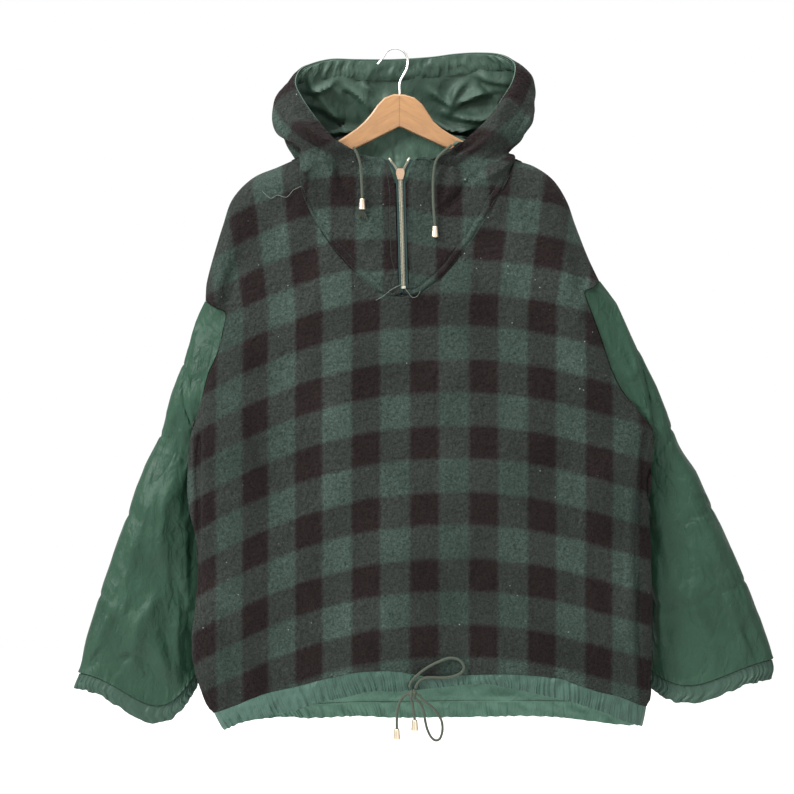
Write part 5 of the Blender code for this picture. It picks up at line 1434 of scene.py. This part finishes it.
def rim_casing():
    """Points CASING_WIDTH in from the rim, raised inwards by unequal gathers times a puffed arch."""
    face, normal = (refine(grid[LINING_ROWS], 4, 1) for grid in (hood_points, hood_normals))
    across = np.linspace(0, 1, 15)
    length = arc_lengths(face, 1)
    wanted = across * CASING_WIDTH + 0.6
    face_at, inward = (np.stack([read_at(wanted, length[k], grid[k]) for k in range(len(face))])
                       for grid in (face, normal))
    share = np.linspace(0, 1, len(face))[:, None]
    lean = share + 0.0022 * np.sin(7 * across[None] + 60 * share)
    wave = gathers(np.clip(lean, 0, 1), RIM_GATHER_COUNT, 41, 0.25)
    small = gathers(np.clip(lean, 0, 1), RIM_CRINKLE_COUNT, 42, 0.1)
    arch = arched(across, 0.06, 0.96, 0.5)
    rise = 0.9 + arch[None] * (1.2 + 4.2 * wave + 1.6 * small * (0.4 + across[None]))
    rise += 0.7 * arch[None] * unevenness(face_at, 18, 43)
    backed = lifted(face_at, inward, -(LINING_DEPTH + LINING + 1.0))
    raised = lifted(backed, inward, -rise)
    far = np.stack([np.broadcast_to(across[None] * CASING_WIDTH, wave.shape),
                    np.broadcast_to(arc_lengths(face_at, 0), wave.shape)], -1) * MM
    made = shell("rim_casing_nylon", backed, raised, far, HOOD_NYLON)
    cloth(made, "hood_rim_casing", "nylon", raised, (0.70, 0.038), "gathered")


def rim_piping():
    """A thin pale edge where fleece and casing meet, one tube along the rim."""
    rows = slice(LINING_FIRST * HOOD_ROWS_FINER, (LINING_LAST - 2) * HOOD_ROWS_FINER)
    path = hood_points[rows, 0] - 0.6 * FLEECE * hood_normals[rows, 0]
    towards = unit(hood_points[rows, 0] - hood_points[rows, 2])
    made = tube("rim_piping", path + 0.3 * towards, 0.8, PIPING, 8)


hood_lining()
rim_casing()
rim_piping()

# %% [markdown]
# ## Sleeves and cuffs
# A sleeve is a lofted tube: rings from the armhole's seam to the cuff, each a full ellipse. Its
# padding puffs between the quilting lines, which pull the nylon into small puckers beside them.

# %% Sleeves and cuffs
SLEEVE_AROUND, SLEEVE_DOWN = 144, 150
CUT_SLEEVE = {"left": (0.45, 0.54), "right": (0.49, 0.57)}         # metres, all round
CUT_CUFF = {"left": (0.53, 0.030), "right": (0.49, 0.030)}
UNDER_COLUMNS = ("edge_x", "low_z", "shift")       # where a sleeve tucks in behind the body's side
SLEEVE_UNDER = {"left": (-276, -545, -20), "right": (352, -560, 24)}
QUILT_GATHERS, SEAM_PUCKERS, CUFF_PUCKERS = 30, 40, 52             # round a sleeve
CUFF_COLUMNS, CUFF_WAVES, CUFF_CRINKLES, CUFF_SCALLOPS = 432, 38, 97, 21
SLEEVE_CREASES = {
    "left": [
        (178, 350, 160, 430, 6, 9, 2.6), (196, 330, 186, 400, 4, 7, -2.2), (150, 430, 128, 520, 5, 10, 3.0),
        (176, 410, 150, 500, 6, 9, -2.6), (120, 520, 96, 600, 4, 9, 3.0), (150, 500, 124, 600, 6, 10, 2.8),
        (172, 470, 160, 560, 5, 9, 2.6), (188, 440, 184, 520, 3, 7, -2.6), (118, 600, 92, 660, 3, 8, 2.8),
        (160, 590, 130, 660, 7, 9, 3.0), (118, 665, 137, 657, -3, 4, -3.4),
        (136, 656, 150, 692, -4, 4, -3.6), (150, 640, 170, 700, -3, 8, 3.0),
        (180, 600, 176, 680, 3, 8, 2.6), (100, 650, 88, 672, 2, 5, -2.4), (192, 520, 190, 600, 2, 6, -2.4),
        (104, 610, 122, 640, -3, 6, -2.2), (168, 560, 186, 620, 3, 6, -2.4),
    ],
    "right": [
        (600, 330, 616, 380, -4, 8, 2.4), (612, 350, 640, 420, -6, 9, 2.8),
        (604, 340, 622, 398, -4, 6, -2.4), (640, 400, 664, 462, -4, 9, 2.8),
        (652, 440, 676, 520, -5, 8, -2.4), (660, 420, 694, 500, -5, 10, 3.0),
        (650, 480, 664, 560, -3, 9, 2.8), (690, 500, 720, 590, -5, 10, 3.0),
        (670, 520, 690, 600, -4, 9, -2.6), (656, 560, 664, 650, -3, 8, 2.6),
        (720, 590, 748, 660, -5, 9, 2.8), (690, 600, 716, 680, -5, 9, 3.0),
        (668, 620, 684, 684, -3, 7, -2.8), (736, 620, 762, 668, -3, 7, -2.4),
        (704, 560, 728, 620, -4, 7, -2.2),
    ],
}


def sideways(path, outward):
    """Level unit directions square to a path of (x, y, z) points, pointing to the outward side."""
    run = unit(np.gradient(path[:, (0, 2)], axis=0))
    return np.stack([outward * -run[:, 1], 0 * run[:, 0], outward * run[:, 0]], 1)


def seam_ring(side, columns):
    """The armhole seam as a ring: down the front to the armpit and up the back."""
    outward = -1 if side == "left" else 1
    seams = [side_rows(panel, side)[:columns // 2 + 1] for panel in ("front", "back")]
    front, back = (seam + SLEEVE_GAP * sideways(seam, outward) for seam in seams)
    return np.vstack([front[:-1], back[:0:-1]])


def sleeve_ring(station, columns):
    """A section of the sleeve: a full ellipse between its outer and inner edge, sagging."""
    row = dict(zip(SLEEVE_COLUMNS, station))
    outer = np.array([row["outer_x"], row["outer_y"], row["outer_z"]])
    inner = np.array([row["inner_x"], row["inner_y"], row["inner_z"]])
    angle = 2 * np.pi * np.arange(columns) / columns
    reach = np.sign(np.cos(angle)) * np.abs(np.cos(angle)) ** SLEEVE_FULLNESS
    bulge = -np.sign(np.sin(angle)) * np.abs(np.sin(angle)) ** SLEEVE_FULLNESS
    half = 0.5 * (outer - inner)
    square = -unit(np.cross(half, np.cross(half, (0, 1, 0))))
    centre = 0.5 * (outer + inner)
    ring = centre + reach[:, None] * half + 0.5 * row["thick"] * bulge[:, None] * square
    share = np.clip(0.5 - 0.5 * reach, 0, 1)
    ring[:, 2] -= row["sag"] * np.sin(np.pi * share ** 1.7)
    return ring


def sleeve_points(side, at, columns):
    """Rings at the given station numbers; below 1 they leave the armhole's seam for the first."""
    stations = np.array(SLEEVES[side], float)
    start = seam_ring(side, 2 * (SEAM_STEPS + ARMHOLE_STEPS))
    start = refine(start[None].repeat(2, 0), 1, columns // len(start), closed=True)[0]
    rings = []
    for place in at:
        ring = sleeve_ring(smooth_rows(stations, [max(place - 1, 0)])[0], columns)
        rings.append((1 - place) * start + place * ring if place < 1 else ring)
    return np.array(rings)


def ring_fade(at, first, last):
    return (np.clip(at / first, 0, 1) * np.clip((at[-1] - at) / last, 0, 1))[:, None]


def ring_normals(grid):
    return facing(normals(grid, closed=True), grid - grid.mean(1, keepdims=True))


def around_map(grid):
    """UV in metres: round the ring, with one more column where it closes, and down the sleeve."""
    closed = np.concatenate([grid, grid[:, :1]], 1)
    across = arc_lengths(closed, 1)
    down = np.broadcast_to(arc_lengths(grid, 0)[:, :1], across.shape)
    return np.stack([across, down], -1) * MM


def sleeve(side):
    at = np.linspace(0, SLEEVE_LAST + 1, SLEEVE_DOWN + 1)
    grid = sleeve_points(side, at, SLEEVE_AROUND)
    normal = ring_normals(grid)
    ahead = normal[..., 1] < 0
    turn = np.arange(SLEEVE_AROUND) / SLEEVE_AROUND
    wander = 0.05 * np.sin(2 * np.pi * turn * 3 + 1) + 0.03 * np.sin(2 * np.pi * turn * 7)
    placed = at[:, None] + wander[None]
    puff, ripple = np.ones(placed.shape), np.zeros(placed.shape)
    for number, line in enumerate(QUILT_LINES):
        away = np.abs(placed - line)
        puff = np.minimum(puff, np.clip(away / 0.45, 0, 1))
        wave = gathers(turn, QUILT_GATHERS, 50 + number, 0.0)[None]
        ripple += wave * bell(away, 0, 0.26) * np.clip(away / 0.06, 0.2, 1)
    puff = np.sqrt(1 - (1 - puff) ** 2)
    soft = 1.9 * creases(grid, SLEEVE_CREASES[side]) * np.where(ahead, 1, 0.75)
    long = grid * (1, 1, 0.6)     # waves in it are longer down the sleeve
    soft += 2.4 * unevenness(grid, 110, 61) + 1.3 * unevenness(long, 42, 62)
    soft -= 2.8 * np.abs(unevenness(long, 64, 63)) ** 0.7
    soft -= 1.3 * np.abs(unevenness(grid * (1, 1, 0.7), 27, 64)) ** 0.8
    seam_pucker = gathers(turn, SEAM_PUCKERS, 66, 0.2)[None] * np.exp(-at[:, None] / 0.12) * 1.2
    cuff_pucker = gathers(turn, CUFF_PUCKERS, 67, 0.2)[None]
    cuff_pucker = cuff_pucker * np.exp(-(at[-1] - at[:, None]) / 0.16) * 2.4
    soft *= np.clip(np.abs(normal[..., 1]), 0.25, 1)
    rise = QUILT_RISE * puff * ring_fade(at, 1.2, 0.6) + soft * ring_fade(at, 0.8, 0.3)
    rise += 2.4 * ripple * ring_fade(at, 0.5, 0.2) + seam_pucker + cuff_pucker
    tuck = dict(zip(UNDER_COLUMNS, SLEEVE_UNDER[side]))
    under = bell(grid[..., 2], tuck["low_z"], 46)
    under *= np.clip(1 - np.abs(grid[..., 0] - tuck["edge_x"]) / 60, 0, 1)
    grid[..., 0] -= tuck["shift"] * under
    grid[..., 1] += 9 * under
    made = shell(side + "_sleeve_nylon", lifted(grid, normal, rise),
                 lifted(grid, normal, -SLEEVE_WALL), around_map(grid), SLEEVE_NYLON, closed=True)
    cloth(made, side + "_sleeve", "nylon", grid, CUT_SLEEVE[side], "hung", closed=True,
          rests_on=["front_fleece"])


def cuff(side):
    """A casing drawn in by its elastic: unequal gathers that bulge between its two edges."""
    at = np.linspace(SLEEVE_LAST + 1 + 0.03, len(SLEEVES[side]), 15)
    grid = sleeve_points(side, at, CUFF_COLUMNS)
    normal = ring_normals(grid)
    grid = lifted(grid, normal, -(SLEEVE_WALL + CUFF_INSET))
    turn = np.arange(CUFF_COLUMNS) / CUFF_COLUMNS
    down = np.linspace(0, 1, len(at))[:, None]
    swayed = (turn[None] + 0.006 * np.sin(5 * down)) % 1.0
    wave = gathers(swayed, CUFF_WAVES, 71, 0.15)
    fine = gathers(swayed, CUFF_CRINKLES, 72, 0.05)
    arch = arched(down, 0.1, 0.9)
    rise = arch * 0.9 + 1.5 * CUFF_GATHER_RISE * wave * (0.4 + 0.6 * down) + 1.6 * fine
    grid[..., 2] += (4.2 * gathers(turn, CUFF_SCALLOPS, 73, 0.0) - 1.5)[None] * down ** 2
    raised = lifted(grid, normal, rise)
    made = shell(side + "_cuff_nylon", raised, lifted(grid, normal, rise - NYLON), around_map(grid),
                 CUFF_NYLON, closed=True)
    cloth(made, side + "_cuff", "nylon_light", raised, CUT_CUFF[side], "gathered", closed=True)


for arm in ("left", "right"):
    sleeve(arm)
    cuff(arm)

# %% [markdown]
# ## Hem casings
# The hem is two casings drawn in by their cord. The front one hangs gathered in many small unequal
# waves; the back one shows below and behind it, smoother, with the line of stitches that holds it.

# %% Hem casings


def hem_casing(name, panel, upper, lower, counts, seed, cut, finish):
    share = np.linspace(0, 1, 801)
    top, foot = along(upper, share), along(lower, share)
    top = top + 1.2 * SEAM_GAP * unit(foot - top)
    top[0, 0] += SEAM_GAP
    top[-1, 0] -= SEAM_GAP
    down = np.linspace(0, 1, 15)[:, None]
    grid = on_torso(panel, (1 - down[..., None]) * top[None] + down[..., None] * foot[None])
    swayed = np.clip(share[None] + 0.0016 * np.sin(4 * down + 40 * share[None]), 0, 1)
    wave = gathers(swayed, counts[0], seed, 0.1)
    fine = gathers(swayed, counts[1], seed + 1, 0.0)
    arch = arched(down, 0.12, 0.88, 0.7)
    ends = np.clip(np.minimum(share, 1 - share) / 0.012, 0, 1)[None]
    level = 0.5 * SEAM_GAP + ends * (1.2 * arch + 1.5 * HEM_GATHER_RISE * wave * (0.35 + 0.65 * down)
                                     + 2.0 * fine * (0.3 + 0.7 * down))
    level += 0.7 * ends * unevenness(grid, 16, seed + 2)
    grid[..., 2] += (2.4 if panel == "front" else 1.0) * ends * (wave[-1:] - 0.4) * down ** 3
    grid[..., 1] += OUT[panel] * level
    inner = grid.copy()
    inner[..., 1] -= OUT[panel] * NYLON
    made = shell(name + "_nylon", grid, inner, cloth_map(grid), finish)
    cloth(made, name, "nylon_light", grid, cut, "gathered")


hem_casing("front_hem_casing", "front", HEM_FRONT, CASING_FRONT, (61, 173), 81, (0.78, 0.034),
           CASING_NYLON)
hem_casing("back_hem_casing", "back", HEM_BACK, CASING_BACK, (37, 120), 91, (0.72, 0.037), HEM_NYLON)


def back_lining(name, upper, lower, seed, cut, rows_of_creases, finish):
    """The lining on the inside of the back where it shows: in the neck, and above the back hem."""
    top, foot = evenly(upper, 150), evenly(lower, 150)
    down = np.linspace(0, 1, 41)[:, None, None]
    grid = on_torso("back", (1 - down) * top[None] + down * foot[None], -(FLEECE + 5 * SKIN_GAP))
    rise = 1.0 * unevenness(grid, 60, seed) + 0.5 * unevenness(grid, 22, seed + 1)
    rise = (rise + creases(grid, rows_of_creases) + 0.8) * edge_fade(grid, 8)
    inner = grid.copy()
    inner[..., 1] -= LINING + np.maximum(rise, -0.3)
    made = shell(name + "_nylon", grid, inner, cloth_map(grid), finish)
    cloth(made, name, "nylon", grid, cut, "hung")


# the neck lining takes the brighter copy of the hood nylon, as painted light
back_lining("neck_lining", [(-88, -125), (-30, -107), (10, -105), (60, -108), (120, -127)],
            [(-108, -178), (10, -180), (142, -178)], 101, (0.26, 0.078),
            [(394, 134, 397, 178, 1, 3, -2.4), (380, 140, 372, 170, 2, 4, 2.0),
             (408, 140, 420, 170, -2, 4, 2.0)], NECK_NYLON_PAINTED_LIGHT)
back_lining("back_lining", [(-190, -840), (10, -832), (276, -840)],
            [(-184, -899), (10, -891), (272, -890)], 121, (0.48, 0.060), [], HEM_NYLON)

# %% [markdown]
# ## Small parts
# Stitches, teeth and stops are one small shape each, repeated along a path. The shape is a few rings
# along an axis, drawn in at both ends, so that hundreds of them stay light.

# %% Small parts


def pebble(length, width, height, around=6, drawn_in=0.55):
    """Rings along the first axis, drawn in at the ends; the caps are fans of quads."""
    angle = 2 * np.pi * (np.arange(around) + 0.5) / around
    rings = []
    for place, size in ((-0.5, drawn_in), (-0.32, 1), (0.32, 1), (0.5, drawn_in)):
        rings.append(np.stack([np.full(around, place * length), 0.5 * width * size * np.cos(angle),
                               0.5 * height * size * np.sin(angle)], 1))
    points = np.vstack(rings)
    place = np.arange(4 * around).reshape(4, around)
    faces = quads_of(np.hstack([place, place[:, :1]]))
    first = [[0, k + 2, k + 1, k] for k in range(1, around - 1, 2)]
    last = [[3 * around, 3 * around + k, 3 * around + k + 1, 3 * around + k + 2]
            for k in range(1, around - 1, 2)]
    return points, np.vstack([faces[:, ::-1], np.array(first)[:, ::-1], np.array(last)[:, ::-1]])


def stitches(name, lines, material, pitch=3.0, length=2.3, width=0.75):
    """Rows of stitches: each line is (path, normal), and the stitches lie half sunk along it."""
    places, axes = [], []
    for path, normal in lines:
        path, normal = np.asarray(path, float), np.asarray(normal, float)
        far = distances(path)
        at = np.arange(0.5 * pitch, far[-1], pitch)
        here, up = read_at(at, far, path), read_at(at, far, normal)
        ahead = unit(read_at(at + 0.5, far, path) - here)
        side = unit(np.cross(up, ahead))
        places.append(here)
        axes.append(np.stack([ahead, side, np.cross(ahead, side)], 1))
    shape, faces = pebble(length, width, width)
    copies(name, shape, faces, np.vstack(places), np.vstack(axes), material)


def line_on_hood(distance, rows, from_seam=False):
    """A line on the hood's or bib's raised face at a distance from the rim or zip, or the seam."""
    far = arc_lengths(hood_points, 1)
    if from_seam:
        far = far[:, -1:] - far
    path = []
    for k in rows:
        order = np.argsort(far[k])
        path.append(read_at([distance], far[k][order], hood_raised[k, order])[0])
    return np.array(path), hood_normals[rows, -1 if from_seam else 0]


def fine_rows(first, last, shift=0):
    """Numbers of the hood's fine rows from one row of its table to another."""
    return np.arange(first * HOOD_ROWS_FINER + max(shift, 0), last * HOOD_ROWS_FINER + min(shift, 0))


stitches("bib_seam_stitches", [line_on_hood(groove, part_rows, True)
                               for part_rows in (fine_rows(0, 9, 2), fine_rows(28, 37, -2))
                               for groove in (FELL_NEAR, FELL_FAR)], GREEN_THREAD)
stitches("zip_edge_stitches", [line_on_hood(ZIP_GROOVE, part_rows)
                               for part_rows in (fine_rows(1, 6), fine_rows(31, 36))], GREEN_THREAD)


def hem_stitches(panel, upper, lower, share, lift, faces):
    at = np.linspace(0.01, 0.99, 500)
    path = on_torso(panel, (1 - share) * along(upper, at) + share * along(lower, at), lift)
    return path, np.broadcast_to((0, faces, 0), path.shape)


stitches("front_hem_stitches", [hem_stitches("front", HEM_FRONT, CASING_FRONT, 0.0, 0.4, -1)],
         DARK_THREAD)
stitches("back_hem_stitches", [hem_stitches("back", HEM_BACK, CASING_BACK, 0.05, -(FLEECE + 3.8), -1)],
         DARK_THREAD, 3.2, 2.2, 0.9)

# %% [markdown]
# ## Zip
# The closed chain is two rows of teeth that lie in each other's gaps, on ribbed tapes; above the
# slider the rows part in a V and each ends in a stop. The slider's own solid keeps its shape.

# %% Zip
TOOTH_PITCH = 1.9
TOOTH_LENGTH, TOOTH_WIDTH, TOOTH_HEIGHT = 3.1, 1.4, 2.1
TOOTH_SUNK = 0.2         # how far a tooth's middle lies under the cloth's face
ZIP_FOOT = (15.0, -326.5)
TAPE_FOOT = (15.2, -333)
SIGNS = {"left": -1, "right": 1}


def zip_frame(table, steps=260):
    """Points along a zip line with their direction down it and the direction across, to +X."""
    line = evenly(np.array(table, float), steps)
    path = on_torso("front", line)
    ahead = unit(np.gradient(path, axis=0))
    across = np.cross(ahead, (0.0, -1.0, 0.0))
    across *= np.sign(across[:, :1])
    return path, ahead, unit(across)


def tooth_row(table, side, shift, offset):
    """Where one row's teeth lie, and the three axes of each."""
    path, ahead, across = zip_frame(table)
    far = distances(path)
    at = np.arange(shift, far[-1] - 0.6, TOOTH_PITCH)
    path, ahead, across = (read_at(at, far, grid) for grid in (path, ahead, across))
    out = np.cross(across, ahead)
    out *= -np.sign(out[:, 1:2])
    place = path + side * offset * across - TOOTH_SUNK * out
    return place, np.stack([side * across, ahead, np.cross(side * across, ahead)], 1)


def zip_chain():
    below = [point for point in ZIP_LINE if point[1] < SLIDER_TOP - 10]
    below = [(10.7, SLIDER_TOP - SLIDER_LENGTH + 2)] + below[:-1] + [ZIP_FOOT]
    rows = [tooth_row(below, side, shift, 1.1)
            for side, shift in ((-1, 0.3), (1, 0.3 + 0.5 * TOOTH_PITCH))]
    rows += [tooth_row(ZIP_V[side], SIGNS[side], 2.4, 0.6) for side in ("left", "right")]
    places, axes = (np.vstack([row[k] for row in rows]) for k in (0, 1))
    shape, faces = pebble(TOOTH_LENGTH, TOOTH_HEIGHT, TOOTH_WIDTH, 8, 0.7)
    shape = shape[:, (0, 2, 1)]
    made = copies("zip_teeth", shape, faces[:, ::-1], places, axes, TEETH_SILVER)
    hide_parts("zip_chain")
    stops, turned = [], []
    for side in ("left", "right"):
        path, ahead, across = zip_frame(ZIP_V[side])
        stops.append(path[2] - np.array((0.0, 0.5, 0.0)))
        turned.append(np.stack([ahead[2], across[2], np.cross(ahead[2], across[2])]))
    path, ahead, across = zip_frame(ZIP_LINE[:-1] + [ZIP_FOOT])
    stops.append(path[-2] - np.array((0.0, 0.4, 0.0)))
    turned.append(np.stack([across[-2], ahead[-2], np.cross(across[-2], ahead[-2])]))
    shape, faces = pebble(5.4, 2.8, 2.4, 8, 0.8)
    made = copies("zip_stops", shape, faces, np.array(stops), np.array(turned), TEETH_SILVER)


def zip_tape(side):
    """A woven tape from the teeth to the edge of the fleece, a little below its surface."""
    sign = SIGNS[side]
    upper = [(x + sign * 0.6, z) for x, z in ZIP_V[side][:-1]] + [(10.6 + sign * 1.4, SLIDER_TOP - 9)]
    lower = [point for point in ZIP_LINE[:-1] if point[1] < SLIDER_TOP - 20] + [TAPE_FOOT]
    line = evenly(upper + lower, 240)
    across = np.linspace(0, 1, 9)
    width = TAPE_EDGE - 0.6
    grid = line[:, None] + (across[None, :, None] * width + 0.5) * np.array((sign, 0.0))
    points = on_torso("front", grid, -1.3)
    far = np.stack([arc_lengths(points, 1), arc_lengths(points, 0)], -1)
    inner = points + np.array((0, 0.7, 0))
    made = shell("zip_tape_" + side + "_woven", points, inner, far, ZIP_TAPE)
    cloth(made, "zip_tape_" + side, "tape", points, (0.01, 0.19), "hung")


zip_chain()
zip_tape("left")
zip_tape("right")

# %% [markdown]
# ## Threads and fray
# Wear that a buyer would see: a frayed tuft under one cord's end, and loose ends of thread at the
# foot of the zip and on the shoulder.

# %% Threads and fray
FRAY_THREADS = 26
THREADS = {              # pixels of the photograph's frame
    "foot_thread_left": [(402, 285), (392, 290), (383, 297), (376, 301)],
    "foot_thread_right": [(404, 288), (408, 293), (412, 298), (417, 297), (420, 292)],
    "shoulder_thread": [(302, 187), (294, 191), (287, 198), (278, 196), (271, 199), (263, 192)],
}


def loose_threads():
    rng = np.random.default_rng(7)
    foot = route_of(CORD_ROUTES["hood_cord_left"])[-1]
    foot = foot - np.array((0, 0, SEAM_GAP + CORD_END_LENGTH - 1.0))
    for k in range(FRAY_THREADS):
        lean = rng.uniform(-0.5, 0.5)
        length = rng.uniform(7, 15)
        t = np.linspace(0, 1, 8)
        start = foot + np.array((rng.uniform(-2.4, 2.4), rng.uniform(-2, 2), 0))
        path = start + np.stack([lean * length * t + 0.8 * np.sin(3 * t + k), 0.5 * np.cos(2 * t + k),
                                 -length * t], 1)
        tube("cord_fray_%02d" % k, path, 0.55 * (1 - 0.4 * t), CORD_BRAID, 5)
    for name, pixels in THREADS.items():
        route = evenly([pixel_to_plane(u, v) for u, v in pixels], 40)
        path = on_torso("front", route, 1.6)
        path[:, 1] -= 0.8 * np.abs(np.sin(np.linspace(0, 9, len(path))))
        tube(name, path, 0.25, PALE_THREAD, 6)


loose_threads()

# %% [markdown]
# ## Hanger, slider and pull tab
# These solids already have their true shape, so they stay, with their real finish.

# %% Hanger, slider and pull tab
for node_name, finish in (("hanger_wood", BEECH), ("hanger_hook", HOOK_STEEL),
                          ("zip_slider", SLIDER_COPPER), ("zip_pull_tab", SLIDER_COPPER)):
    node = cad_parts[node_name]
    node.data.materials.clear()
    node.data.materials.append(finish)
